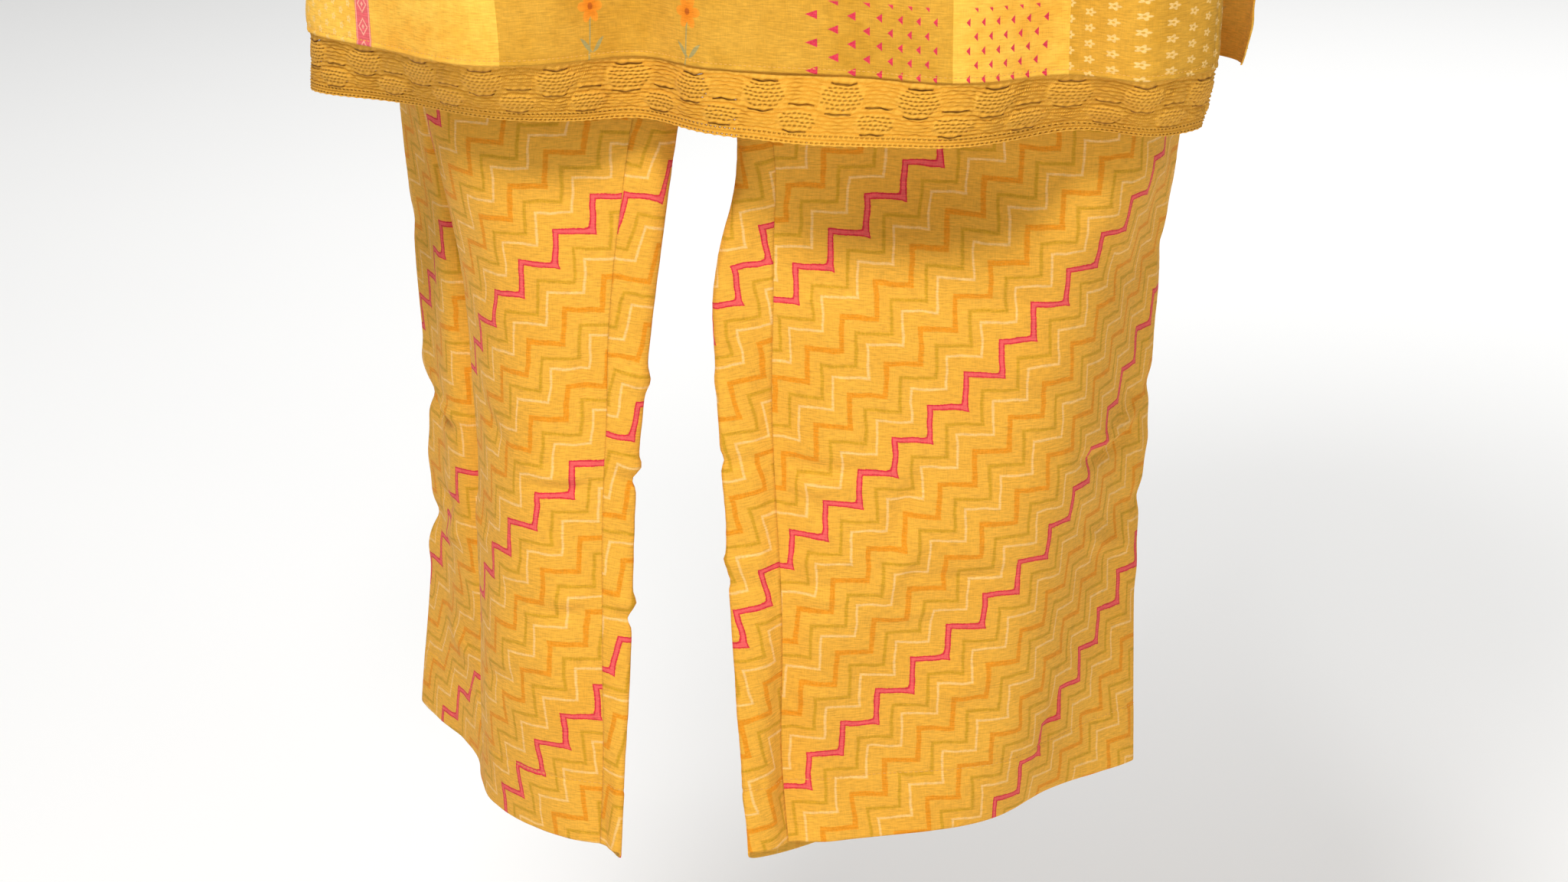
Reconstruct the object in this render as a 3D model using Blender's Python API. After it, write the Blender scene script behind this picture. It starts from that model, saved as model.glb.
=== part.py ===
"""A worn salwar kameez suit, held out by its wearer, who isn't shown.

The kameez is a straight, side-slit tunic with a round neck, three-quarter sleeves and a crochet
lace band along its front hem. The salwar is a pair of straight, wide trousers, each leg cut as a
front and a back panel, on an elastic waistband.

Frame: metres, +Z up, the wearer faces -Y, and the wearer's left is +X. The origin is midway
between the two high shoulder points, where the suit hangs from its wearer.
"""

import bpy
import numpy as np

# Driving sizes, in metres.
CLOTH = 0.0012  # wall of the printed cotton
LACE = 0.0018  # wall of the crochet lace
BAND = 0.0030  # wall of the elastic waistband
SEAM_GAP = 0.0003  # space between two pieces where they are sewn

NECK_HALF_WIDTH = 0.085
NECK_SHARE = 0.62  # share of the yoke's columns that end at the neckline
FRONT_NECK_DROP = 0.130
BACK_NECK_DROP = 0.025
SHOULDER_TIP_X = 0.185
SHOULDER_SLOPE = 0.42  # fall of the shoulder seam per metre across
SHOULDER_ROUND = 0.100  # height over which the chest rounds back to the shoulder seam
UNDERARM = -0.225  # height of the armhole's lowest point
ARMHOLE_X = 0.168  # half the width across the chest between the armholes
OVAL_POWER = 0.9  # 1 would make the kameez's levels ovals, and less is squarer
SLIT_TOP = -0.580  # height where each side slit starts
HEM = -0.886  # height of the front's sewn hem
BACK_HEM = -0.917  # height of the back's plain hem
BACK_FLARE = 0.005  # how much wider the back flap spreads than the front one, each side
LACE_DROP = 0.038  # depth of lace that shows below the front hem
LACE_TUCK = 0.006  # depth of lace sewn up behind the hem

WAIST = -0.410  # top of the waistband
WAISTBAND = 0.040
CROTCH = -0.690
CROTCH_RISE = 0.080  # height over which the crotch seam curves up to front and back
TROUSER_HEM = -1.380
BACK_HEM_SAG = 0.009  # how much lower the back of each trouser hem hangs by the inner crease

# The kameez from hem to underarm. A front flap and a back flap share each row: they are joined
# at the sides above the slits, where front_side and back_side are the same line.
KAMEEZ_COLUMNS = (
    "height", "centre_x", "half_width", "front_depth", "back_depth", "front_side", "back_side",
)
KAMEEZ = (
    (-0.924, 0.0170, 0.2600, 0.125, 0.142, 0.056, 0.078),
    (-0.886, 0.0235, 0.2615, 0.125, 0.142, 0.062, 0.078),
    (-0.850, 0.0235, 0.2630, 0.127, 0.141, 0.060, 0.072),
    (-0.750, 0.0150, 0.2500, 0.128, 0.139, 0.036, 0.044),
    (-0.640, 0.0040, 0.2280, 0.127, 0.133, 0.008, 0.010),
    (-0.580, 0.000, 0.2140, 0.125, 0.1305, 0.000, 0.000),
    (-0.500, 0.000, 0.1960, 0.117, 0.124, 0.000, 0.000),
    (-0.400, 0.000, 0.1820, 0.112, 0.112, 0.000, 0.000),
    (-0.300, 0.000, 0.1840, 0.124, 0.114, 0.000, 0.000),
    (-0.225, 0.000, 0.1880, 0.130, 0.116, 0.000, 0.000),
)

# Soft folds of the kameez's flaps. across is the distance from the body's middle at the hem, out
# is how far the cloth swings out (or in, if negative), and reach is the height where it dies out.
FOLD_COLUMNS = ("across", "out", "half_width", "reach")
FRONT_FOLDS = (
    (-0.125, 0.026, 0.050, -0.600),
    (-0.036, -0.025, 0.030, -0.640),
    (0.145, 0.015, 0.040, -0.640),
    (0.202, -0.011, 0.024, -0.660),
    (0.252, 0.014, 0.022, -0.700),
)
BACK_FOLDS = (
    (-0.190, 0.010, 0.030, -0.720),
    (-0.110, -0.014, 0.028, -0.760),
    (-0.020, 0.014, 0.040, -0.640),
    (0.080, -0.013, 0.026, -0.760),
    (0.170, 0.013, 0.034, -0.700),
)

# How the lace swings out (or in) between the hem and its own lower edge.
SWING_COLUMNS = ("across", "out", "half_width")
LACE_SWINGS = (
    (-0.145, -0.030, 0.085),
    (0.075, 0.012, 0.045),
    (0.228, -0.020, 0.055),
)

# Where the columns of a trouser leg's panels lie round the section, in degrees from the inner
# crease, below the crotch. They are closest at the creases and at the front's long fold.
LEG_FRONT_TURNS = (
    37, 43, 51, 60, 69, 77, 84, 90, 95, 99, 103, 107, 111, 116, 124, 135, 148, 161, 172, 180,
)
LEG_BACK_TURNS = (37, 18, 6, 0, -8, -20, -38, -64, -90, -116, -142, -160, -172, -180)
SEAM_TURN = 37
CREASE_BLUNTNESS = 0.7  # 1 would be an oval's end, and less is blunter

# The trouser legs. Each row is one level section: a chord from the crease at the inner front to
# the crease at the outer back, rounded by an oval at both ends and bulging between them, to the
# front and to the back. peak is where along the chord the front bulges most, and inseam is the
# turn from the inner crease to the inseam, in degrees round the section.
LEG_COLUMNS = (
    "height", "inner_x", "inner_y", "outer_x", "outer_y",
    "front_round", "front_bulge", "back_round", "back_bulge", "peak", "inseam",
)
LEFT_LEG = (
    (-1.380, 0.015, -0.047, 0.219, 0.155, 0.009, -0.013, 0.009, 0.012, 0.61, 37.0),
    (-1.270, 0.008, -0.051, 0.219, 0.139, 0.009, 0.014, 0.009, 0.020, 0.30, 37.0),
    (-1.150, 0.002, -0.056, 0.226, 0.124, 0.011, 0.043, 0.011, 0.028, 0.41, 37.0),
    (-1.040, -0.002, -0.061, 0.232, 0.112, 0.015, 0.054, 0.015, 0.034, 0.45, 37.0),
    (-0.948, 0.014, -0.065, 0.238, 0.096, 0.026, 0.043, 0.024, 0.040, 0.62, 27.0),
    (-0.820, 0.010, -0.038, 0.214, 0.050, 0.064, 0.016, 0.066, 0.022, 0.50, 12.0),
    (-0.740, 0.005, -0.010, 0.195, 0.014, 0.098, 0.002, 0.098, 0.006, 0.50, 3.0),
    (-0.690, 0.0, 0.0, 0.188, 0.000, 0.112, 0.000, 0.112, 0.000, 0.50, 0.0),
)
RIGHT_LEG = (
    (-1.380, -0.061, -0.062, -0.244, 0.177, 0.009, 0.027, 0.009, 0.010, 0.365, 28.0),
    (-1.250, -0.054, -0.062, -0.228, 0.152, 0.009, 0.043, 0.009, 0.018, 0.25, 21.5),
    (-1.150, -0.050, -0.061, -0.222, 0.127, 0.011, 0.042, 0.011, 0.026, 0.23, 21.5),
    (-1.050, -0.040, -0.061, -0.224, 0.112, 0.014, 0.044, 0.014, 0.034, 0.29, 26.0),
    (-0.948, -0.029, -0.060, -0.225, 0.096, 0.026, 0.052, 0.024, 0.038, 0.39, 25.0),
    (-0.820, -0.012, -0.038, -0.208, 0.050, 0.064, 0.016, 0.066, 0.022, 0.50, 14.0),
    (-0.740, -0.005, -0.010, -0.195, 0.014, 0.098, 0.002, 0.098, 0.006, 0.50, 3.0),
    (-0.690, 0.0, 0.0, -0.188, 0.000, 0.112, 0.000, 0.112, 0.000, 0.50, 0.0),
)

# The hips, above the crotch.
HIP_COLUMNS = ("height", "half_width", "front_depth", "back_depth")
HIPS = (
    (-0.690, 0.1880, 0.1120, 0.1120),
    (-0.640, 0.1880, 0.1150, 0.1210),
    (-0.580, 0.1840, 0.1150, 0.1290),
    (-0.510, 0.1720, 0.1080, 0.1200),
    (-0.450, 0.1570, 0.1000, 0.1060),
)

# Folds down the trouser legs. along is the share of the chord from the inner crease, at the hem
# and at the lace, out is negative for a valley, and each fold fades in and out between its two
# heights.
FOLD_FADE = 0.120
LEG_FOLD_COLUMNS = ("along_hem", "along_lace", "out", "half_width", "low", "high")
LEFT_LEG_FOLDS = (
    (0.105, 0.105, -0.009, 0.011, -1.500, -1.000),
    (0.507, 0.792, 0.039, 0.071, -1.520, -0.800),
)
RIGHT_LEG_FOLDS = (
    (0.050, 0.045, -0.006, 0.011, -1.500, -1.000),
    (0.555, 0.660, -0.032, 0.013, -1.390, -0.780),
    (0.640, 0.640, -0.013, 0.060, -1.520, -1.200),
    (0.760, 0.760, 0.005, 0.020, -1.380, -1.000),
)

# The arm, from the armhole down: the centre of each round of the sleeve and its half sizes.
SLEEVE_COLUMNS = ("centre_x", "centre_y", "centre_z", "half_out", "half_deep", "lean")
SLEEVE = (
    (0.2520, 0.000, -0.262, 0.0500, 0.0620, 24.0),
    (0.2880, -0.006, -0.375, 0.0480, 0.0560, 17.0),
    (0.3210, -0.018, -0.490, 0.0460, 0.0500, 16.0),
)
# How steeply the cap leaves the armhole at the shoulder, and how much more at the underarm. Then
# how far it runs on at its start and its end, as shares of its reach.
CAP_SLOPE, UNDERARM_SLOPE = 0.45, 0.70
CAP_LEAVE, CAP_ARRIVE = 0.36, 0.32

# How finely the pieces are divided. The front panel's columns follow the lace's repeat.
BACK_ACROSS = 24
FLAP_ROWS, BODY_ROWS, YOKE_ROWS = 6, 5, 8
LEG_HEIGHTS = (
    TROUSER_HEM, -1.310, -1.240, -1.170, -1.110, -1.060, -1.020, -0.985, -0.950, -0.910, -0.860,
    -0.800, -0.740, CROTCH,
)
CROTCH_ROWS = 4
HIP_HEIGHTS = (-0.580, -0.520, WAIST - WAISTBAND - SEAM_GAP)
CAP_ROWS = 4
YOKE_CROWDING = 0.85  # how far the yoke's rows crowd towards the shoulder seam, from 0 to 1
NECK_CROWDING = 1.6  # more crowds the yoke's columns towards the neckline's corners
WAISTBAND_AROUND = 28

# The lace's repeat, and its slits: how far below the hem each row of slits starts, and its place
# in the repeat. A swelling runs along the leaves between the slits, and a border along the foot.
LACE_REPEAT = 0.0445
SLIT_LONG, SLIT_HIGH = 0.0140, 0.0022
SLIT_ROWS = ((0.0036, 0.0), (0.0150, 0.5), (0.0198, 0.0))
LEAF_RELIEF, LEAF_MIDDLE, LEAF_HALF = 0.0007, 0.0130, 0.0090
BORDER_TOP = 0.0300

# Each cloth's colour, in linear RGB, and its roughness.
PRINTED_COTTON = ((0.84, 0.50, 0.08), 0.85)
TUNIC_COTTON = ((0.80, 0.45, 0.07), 0.85)
CROCHET_COTTON = ((0.80, 0.40, 0.04), 0.90)


def smooth_step(x):
    """0 below 0, 1 above 1, and 3x^2 - 2x^3 between."""
    x = np.clip(x, 0.0, 1.0)
    return x * x * (3.0 - 2.0 * x)


def column(columns, rows, name, heights):
    """One column of a table, read at heights by a cubic through its rows with averaged slopes."""
    table = np.array(rows, float)
    table = table[np.argsort(table[:, 0])]
    at, value = table[:, 0], table[:, columns.index(name)]
    step = np.diff(value) / np.diff(at)
    # The slope at a row is nought where the value turns back, so that no stretch overshoots.
    both = step[1:] * step[:-1]
    steady = both > 0
    inner = np.where(steady, 2 * both / np.where(steady, step[1:] + step[:-1], 1.0), 0.0)
    slope = np.concatenate([[step[0]], inner, [step[-1]]])
    heights = np.clip(heights, at[0], at[-1])
    i = np.clip(np.searchsorted(at, heights, side="right") - 1, 0, len(at) - 2)
    wide = at[i + 1] - at[i]
    t = (heights - at[i]) / wide
    return (
        (2 * t**3 - 3 * t**2 + 1) * value[i]
        + (t**3 - 2 * t**2 + t) * wide * slope[i]
        + (3 * t**2 - 2 * t**3) * value[i + 1]
        + (t**3 - t**2) * wide * slope[i + 1]
    )


def flap_folds(folds, x, z):
    """How far the folds push the flap out at x and z: a bell across each, fading up to its reach."""
    out = np.zeros(np.broadcast(x, z).shape)
    for row in folds:
        fold = dict(zip(FOLD_COLUMNS, row))
        fade = smooth_step((fold["reach"] - z) / (fold["reach"] - HEM))
        out += fold["out"] * fade * np.exp(-(((x - fold["across"]) / fold["half_width"]) ** 2))
    return out


def lace_swing(x):
    """How far the lace's lower edge swings out past the hem above it."""
    out = np.zeros(x.shape)
    for row in LACE_SWINGS:
        swing = dict(zip(SWING_COLUMNS, row))
        out += swing["out"] * np.exp(-(((x - swing["across"]) / swing["half_width"]) ** 2))
    return out


def kameez_below(side, across, z):
    """A point of the kameez below the underarm. side is -1 for the front and 1 for the back.

    Each level is half an oval: x goes with the sine of the turn, y with its cosine, from the
    side line out to the depth in the middle.
    """
    def read(name):
        return column(KAMEEZ_COLUMNS, KAMEEZ, name, z)

    turn = across * np.pi / 2
    word = "front" if side < 0 else "back"
    flare = BACK_FLARE * smooth_step((SLIT_TOP - z) / (SLIT_TOP - HEM)) if side > 0 else 0.0
    x = read("centre_x") + (read("half_width") + flare) * np.sin(turn)
    depth, edge = read(word + "_depth"), read(word + "_side")
    folds = FRONT_FOLDS if side < 0 else BACK_FOLDS
    y = edge + (depth - edge) * np.cos(turn) ** OVAL_POWER + flap_folds(folds, x, z)
    if side < 0:
        y = y + lace_swing(x) * np.clip((HEM - z) / LACE_DROP, 0, 1)
    return np.stack([x, side * y, z + 0 * x], -1)


def kameez_above(side, across, rise):
    """A point of the kameez above the underarm, rise going from 0 there to 1 at the top edge.

    The top edge is the round neckline inside the high shoulder point and the shoulder seam
    outside it. The depth is the chest's oval, rounded back to nothing at the shoulder seam.
    """
    size = np.abs(across)
    # The rows crowd towards the shoulder seam, where the cloth bends over, but not at the neckline.
    crowded = YOKE_CROWDING * np.clip(size / NECK_SHARE, 0, 1) ** 3
    height = rise + (np.sin(rise * np.pi / 2) - rise) * crowded
    drop = FRONT_NECK_DROP if side < 0 else BACK_NECK_DROP
    # The columns crowd towards the neckline's corners, where it turns back over the shoulder.
    around_neck = (1 - (1 - np.clip(size / NECK_SHARE, 0, 1)) ** NECK_CROWDING) * np.pi / 2
    along_shoulder = np.clip((size - NECK_SHARE) / (1 - NECK_SHARE), 0, 1)
    top_x = np.where(
        size < NECK_SHARE,
        NECK_HALF_WIDTH * np.sin(around_neck),
        NECK_HALF_WIDTH + (SHOULDER_TIP_X - NECK_HALF_WIDTH) * along_shoulder,
    )
    top_z = np.where(
        size < NECK_SHARE,
        -drop * np.cos(around_neck),
        -SHOULDER_SLOPE * (top_x - NECK_HALF_WIDTH),
    )
    chest = column(KAMEEZ_COLUMNS, KAMEEZ, "half_width", UNDERARM)
    low_x = chest * np.sin(size * np.pi / 2)
    edge = chest + (SHOULDER_TIP_X - chest) * rise
    hollow = (edge - ARMHOLE_X) * (1 - np.abs(2 * rise - 1) ** 3)
    x = (low_x + (top_x - low_x) * rise) * (1 - hollow / edge)
    z = UNDERARM + (top_z - UNDERARM) * height
    seam_z = -SHOULDER_SLOPE * (x - NECK_HALF_WIDTH)
    word = "front_depth" if side < 0 else "back_depth"
    depth = column(KAMEEZ_COLUMNS, KAMEEZ, word, UNDERARM)
    oval = np.clip(1 - (x / chest) ** 2, 0, 1) ** (OVAL_POWER / 2)
    near = np.clip((seam_z - z) / SHOULDER_ROUND, 0, 1)
    y = depth * oval * np.sqrt(np.clip(1 - (1 - near) ** 2, 0, 1))
    return np.stack([np.sign(across) * x, side * y, z], -1)


def kameez_panel(side, across):
    """The outer face of the front or back panel, rows from its hem to its neck and shoulders.

    across holds the columns. Above the underarm they slide over until one of them meets each
    corner of the neckline.
    """
    bottom = HEM if side < 0 else BACK_HEM
    flap = np.linspace(bottom + LACE_TUCK, SLIT_TOP, FLAP_ROWS + 1)
    body = np.linspace(SLIT_TOP, UNDERARM, BODY_ROWS + 1)[1:]
    z = np.concatenate([[bottom], flap, body])[:, None]
    rise = np.linspace(0, 1, YOKE_ROWS + 1)[1:, None]
    marks = (-1, -NECK_SHARE, 0, NECK_SHARE, 1)
    nearest = [across[np.argmin(np.abs(across - mark))] for mark in marks]
    slid = np.interp(across, nearest, marks)
    below = kameez_below(side, across + 0 * z, z + 0 * across)
    above = kameez_above(side, across + (slid - across) * rise, rise + 0 * across)
    return np.concatenate([below, above])


def leg_section(rows, folds, turn, z):
    """A point of a trouser leg at height z, turn radians round from the inner crease by the front.

    It lies on the chord from the inner to the outer crease at (1 - cos turn) / 2 of its length,
    moved off it by an oval (sin turn) and by a bulge (the square of a sine along the chord).
    """
    def read(name):
        return column(LEG_COLUMNS, rows, name, z)

    inner = np.stack([read("inner_x"), read("inner_y")], -1)
    chord = np.stack([read("outer_x"), read("outer_y")], -1) - inner
    long = np.linalg.norm(chord, axis=-1)
    way = chord / long[..., None]
    hand = np.sign(rows[0][LEG_COLUMNS.index("outer_x")])
    out = hand * np.stack([way[..., 1], -way[..., 0]], -1)
    share = (1 - np.cos(turn)) / 2
    front = np.sin(turn) >= 0
    skew = np.log(0.5) / np.log(read("peak"))
    climb = np.abs(np.sin(turn)) ** CREASE_BLUNTNESS
    front_off = read("front_round") * climb + read("front_bulge") * np.sin(np.pi * share**skew) ** 2
    back_off = -read("back_round") * climb - read("back_bulge") * np.sin(np.pi * share) ** 2
    for row in folds:
        fold = dict(zip(LEG_FOLD_COLUMNS, row))
        fade_in = smooth_step((z - fold["low"]) / FOLD_FADE)
        fade_out = smooth_step((fold["high"] - z) / FOLD_FADE)
        climbed = (z - TROUSER_HEM) / (HEM - LACE_DROP - TROUSER_HEM)
        along = fold["along_hem"] + (fold["along_lace"] - fold["along_hem"]) * climbed
        bell = np.exp(-(((share - along) * long / fold["half_width"]) ** 2))
        # The creases at both ends stay as they are.
        bell = bell * np.clip(2.5 * np.abs(np.sin(turn)), 0, 1)
        front_off = front_off + fold["out"] * fade_in * fade_out * bell
    off = np.where(front, front_off, back_off)
    place = inner + way * (share * long)[..., None] + out * off[..., None]
    return np.concatenate([place, (z + 0 * share)[..., None]], -1)


def hip_section(hand, side, across, z):
    """A point of the trousers above the crotch, across going from the middle seam to the side.

    The level is part of an oval. It starts at the crotch seam, which curves from under the
    crotch point to the middle of the front or back, and ends at the side seam.
    """
    def read(name):
        return column(HIP_COLUMNS, HIPS, name, z)

    climb = np.clip((z - CROTCH) / CROTCH_RISE, 0, 1)
    start = np.arccos(1 - climb)
    turn = start + (np.pi - start) * across
    half = read("half_width") / (1 + np.cos(start))
    x = half * (np.cos(start) - np.cos(turn))
    depth = read("front_depth" if side < 0 else "back_depth")
    return np.stack([hand * x, side * depth * np.sin(turn), z + 0 * x], -1)


def leg_panel(hand, side):
    """The outer face of one trouser panel, rows from its hem to its waist.

    The columns even out towards the crotch, where the inseam reaches the inner crease.
    """
    rows, folds = (LEFT_LEG, LEFT_LEG_FOLDS) if hand > 0 else (RIGHT_LEG, RIGHT_LEG_FOLDS)
    close = np.array(LEG_FRONT_TURNS if side < 0 else LEG_BACK_TURNS)[None, :]
    across = np.linspace(0, 1, close.size)[None, :]
    z = np.array(LEG_HEIGHTS)[:, None]
    lowness = column(LEG_COLUMNS, rows, "inseam", z) / SEAM_TURN
    turn = np.radians(-180 * side * across * (1 - lowness) + close * lowness)
    leg = leg_section(rows, folds, turn, z + 0 * across)
    behind = np.clip(-turn[0] / np.pi, 0, 1)
    leg[0, :, 2] -= BACK_HEM_SAG * np.sin(np.pi * behind**0.6)
    climb = np.linspace(0, np.pi / 2, CROTCH_ROWS + 1)[1:]
    crotch = CROTCH + CROTCH_RISE * (1 - np.cos(climb))
    above = np.concatenate([crotch, HIP_HEIGHTS])[:, None]
    top = hip_section(hand, side, across + 0 * above, above + 0 * across)
    return np.concatenate([leg, top])


def apart(points, hand):
    """Keeps the points on their own side of the middle, by half a seam's gap."""
    points[..., 0] = hand * np.maximum(hand * points[..., 0], SEAM_GAP / 2)


def face_normals(points):
    """The unit normal at each point of a grid, from the cross product of its two tangents."""
    down = np.gradient(points, axis=0)
    along = np.gradient(points, axis=1)
    normal = np.cross(along, down)
    return normal / (np.linalg.norm(normal, axis=-1, keepdims=True) + 1e-12)


def outward(points, normal, centre):
    """The normals turned, all together, to point away from centre."""
    away = np.sum((points - centre) * normal)
    return normal if away > 0 else -normal


def drawn_in(points, gap):
    """The grid with each side edge moved in along its rows by gap, to leave room at a seam."""
    moved = points.copy()
    for edge, beside in ((0, 1), (-1, -2)):
        step = points[:, beside] - points[:, edge]
        moved[:, edge] += gap * step / np.linalg.norm(step, axis=-1, keepdims=True)
    return moved


def add_piece(name, vertices, faces, cloth):
    """A closed mesh object from vertices and faces, smooth but for its rims, with its material."""
    mesh = bpy.data.meshes.new(name)
    mesh.from_pydata(vertices.tolist(), [], faces)
    mesh.materials.append(cotton(name, *cloth))
    mesh.shade_smooth()
    mesh.set_sharp_from_angle(angle=np.radians(50))
    piece = bpy.data.objects.new(name, mesh)
    SUIT.objects.link(piece)
    face_out(piece)


def wall(name, outer, inner, cloth, closed=False, holes=()):
    """A closed wall between two grids of points, with rims along its edges and round its holes.

    The inner grid is given, and not offset here, because two panels that are sewn together share
    their directions along the seam. closed joins the last column to the first. holes holds the
    (row, column) of quads left out.
    """
    rows, columns = outer.shape[:2]
    wide = columns if closed else columns - 1
    vertices = np.concatenate([outer.reshape(-1, 3), inner.reshape(-1, 3)])
    count = rows * columns
    kept = np.ones((rows - 1, wide), bool)
    for row, col in holes:
        kept[row, col] = False

    def at(row, col):
        return row * columns + col % columns

    faces = []
    for row in range(rows - 1):
        for col in range(wide):
            if not kept[row, col]:
                continue
            quad = (at(row, col), at(row, col + 1), at(row + 1, col + 1), at(row + 1, col))
            faces.append(quad)
            # It starts at the same corner, so that both faces split along the same diagonal.
            faces.append(tuple(count + quad[corner] for corner in (0, 3, 2, 1)))
            beside = ((row - 1, col), (row, col + 1), (row + 1, col), (row, col - 1))
            for edge, (r, c) in enumerate(beside):
                c = c % columns if closed else c
                inside = 0 <= r < rows - 1 and 0 <= c < wide
                if not inside or not kept[r, c]:
                    a, b = quad[edge], quad[(edge + 1) % 4]
                    faces.append((b, a, count + a, count + b))
    add_piece(name, vertices, faces, cloth)


def face_out(piece):
    """Turns a closed piece's faces outwards, by the sign of its volume."""
    mesh = piece.data
    mesh.calc_loop_triangles()
    corners = np.array([[mesh.vertices[v].co for v in t.vertices] for t in mesh.loop_triangles])
    if np.linalg.det(corners).sum() < 0:
        mesh.flip_normals()


def cotton(name, colour, roughness):
    """A plain material of one colour, linear RGB, with no metal in it."""
    material = bpy.data.materials.new(name)
    material.use_nodes = True
    shader = material.node_tree.nodes["Principled BSDF"]
    shader.inputs["Base Color"].default_value = (*colour, 1.0)
    shader.inputs["Roughness"].default_value = roughness
    shader.inputs["Metallic"].default_value = 0.0
    material.diffuse_color = (*colour, 1.0)
    return material


def add_kameez(cloth):
    """The front and back panels, joined with a gap at the sides and shoulders.

    Along a seam both panels face the same way, so that their walls meet square.
    """
    front, _, _, _ = lace_columns()
    back = np.linspace(-1, 1, BACK_ACROSS + 1)
    for name, side, across in (("kameez_front", -1, front), ("kameez_back", 1, back)):
        points = kameez_panel(side, across)
        normal = outward(points, face_normals(points), np.array([0.0, 0.0, SLIT_TOP]))
        sewn = np.abs(points[..., 1]) < SEAM_GAP / 2
        for edge, out in ((0, -1.0), (-1, 1.0)):
            normal[sewn[:, edge], edge] = (out, 0.0, 0.0)
        normal[-1, sewn[-1]] = (0.0, 0.0, 1.0)
        faces = [points, points - CLOTH * normal]
        for face in faces:
            near_seam = np.abs(face[..., 1]) < SEAM_GAP / 2
            face[near_seam, 1] = side * SEAM_GAP / 2
        wall(name, *faces, cloth)


def armhole(hand):
    """The sleeve's first round: from the underarm up the front to the shoulder tip and down the back.

    Its points are those of the panels' own edges, moved out by the seam's gap.
    """
    rise = np.linspace(0, 1, YOKE_ROWS + 1)
    edge = np.full(rise.shape, float(hand))
    front = kameez_above(-1, edge, rise)
    back = kameez_above(1, edge, rise)[::-1]
    ring = np.concatenate([front, back[1:-1]])
    ring[:, 0] += hand * SEAM_GAP
    return ring


def sleeve_round(hand, row, count):
    """One round of the sleeve: an oval square to the arm, from its inner side round by the front."""
    part = dict(zip(SLEEVE_COLUMNS, row))
    turn = np.arange(count) / count * 2 * np.pi
    lean = np.radians(part["lean"])
    x = part["centre_x"] - part["half_out"] * np.cos(turn) * np.cos(lean)
    z = part["centre_z"] - part["half_out"] * np.cos(turn) * np.sin(lean)
    y = part["centre_y"] - part["half_deep"] * np.sin(turn)
    return np.stack([hand * x, y, z], -1)


def sleeve_panel(hand):
    """The sleeve's outer face: a cap that bends down from the armhole, then straight to the cuff."""
    first = armhole(hand)
    rounds = [sleeve_round(hand, row, 2 * YOKE_ROWS) for row in SLEEVE]
    down = rounds[1] - rounds[0]
    reach = np.linalg.norm(rounds[0] - first, axis=-1, keepdims=True)
    # The cap leaves along the shoulder at its top, and more steeply at the underarm.
    low = (first[:, 2].max() - first[:, 2]) / np.ptp(first[:, 2])
    away = np.stack([hand + 0 * low, 0 * low, -CAP_SLOPE - UNDERARM_SLOPE * low], -1)
    away /= np.linalg.norm(away, axis=-1, keepdims=True)
    down /= np.linalg.norm(down, axis=-1, keepdims=True)
    leave = first + CAP_LEAVE * reach * away
    arrive = rounds[0] - CAP_ARRIVE * reach * down
    t = np.linspace(0, 1, CAP_ROWS + 1)[:, None, None]
    cap = (1 - t) ** 3 * first + 3 * (1 - t) ** 2 * t * leave
    cap = cap + 3 * (1 - t) * t**2 * arrive + t**3 * rounds[0]
    steps = np.array([0.5, 1.0])[:, None, None]
    arm = [start + steps * (stop - start) for start, stop in zip(rounds, rounds[1:])]
    return np.concatenate([cap, *arm])


def ring_normals(points):
    """Unit normals of a grid whose columns close on themselves."""
    wrapped = np.concatenate([points[:, -1:], points, points[:, :1]], axis=1)
    return face_normals(wrapped)[:, 1:-1]


def add_sleeves(cloth):
    """Two plain tubes, each starting square to its armhole, clear of the body's wall."""
    for name, hand in (("sleeve_left", 1), ("sleeve_right", -1)):
        points = sleeve_panel(hand)
        normal = outward(points, ring_normals(points), points.mean(axis=(0, 1)))
        flat = normal[0] * np.array([0.0, 1.0, 1.0])
        normal[0] = flat / np.linalg.norm(flat, axis=-1, keepdims=True)
        wall(name, points, points - CLOTH * normal, cloth, closed=True)


def lace_columns():
    """Where the front panel's columns and the lace's fall along the hem.

    Each repeat of the lace has two stretches with a slit, half a repeat apart. The panel has a
    column where each of these starts, and the lace one where it starts and one where it ends,
    so a piece of lace always lies on one flat facet of the panel.
    """
    fine = np.linspace(-1, 1, 2001)
    line = kameez_below(-1, fine, HEM + 0 * fine)
    length = np.concatenate([[0], np.cumsum(np.linalg.norm(np.diff(line, axis=0), axis=1))])
    halves = int(2 * (length[-1] - SLIT_LONG) / LACE_REPEAT)
    margin = (length[-1] - halves * LACE_REPEAT / 2 - SLIT_LONG) / 2
    starts = margin + np.arange(halves + 1) * LACE_REPEAT / 2
    panel = np.concatenate([[0.0], starts, [length[-1]]])
    lace = np.sort(np.concatenate([panel, starts + SLIT_LONG]))
    to_across = np.interp(panel, length, fine)
    return to_across, np.interp(lace, panel, to_across), lace, starts


def lace_surface(across, drop):
    """The face of the front panel, carried on below the hem, with the panel's own flat facets."""
    panel, _, _, _ = lace_columns()
    rows = []
    for depth in drop:
        line = kameez_below(-1, panel, HEM - depth + 0 * panel)
        rows.append(np.stack([np.interp(across, panel, line[:, axis]) for axis in range(3)], -1))
    return np.array(rows)


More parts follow.
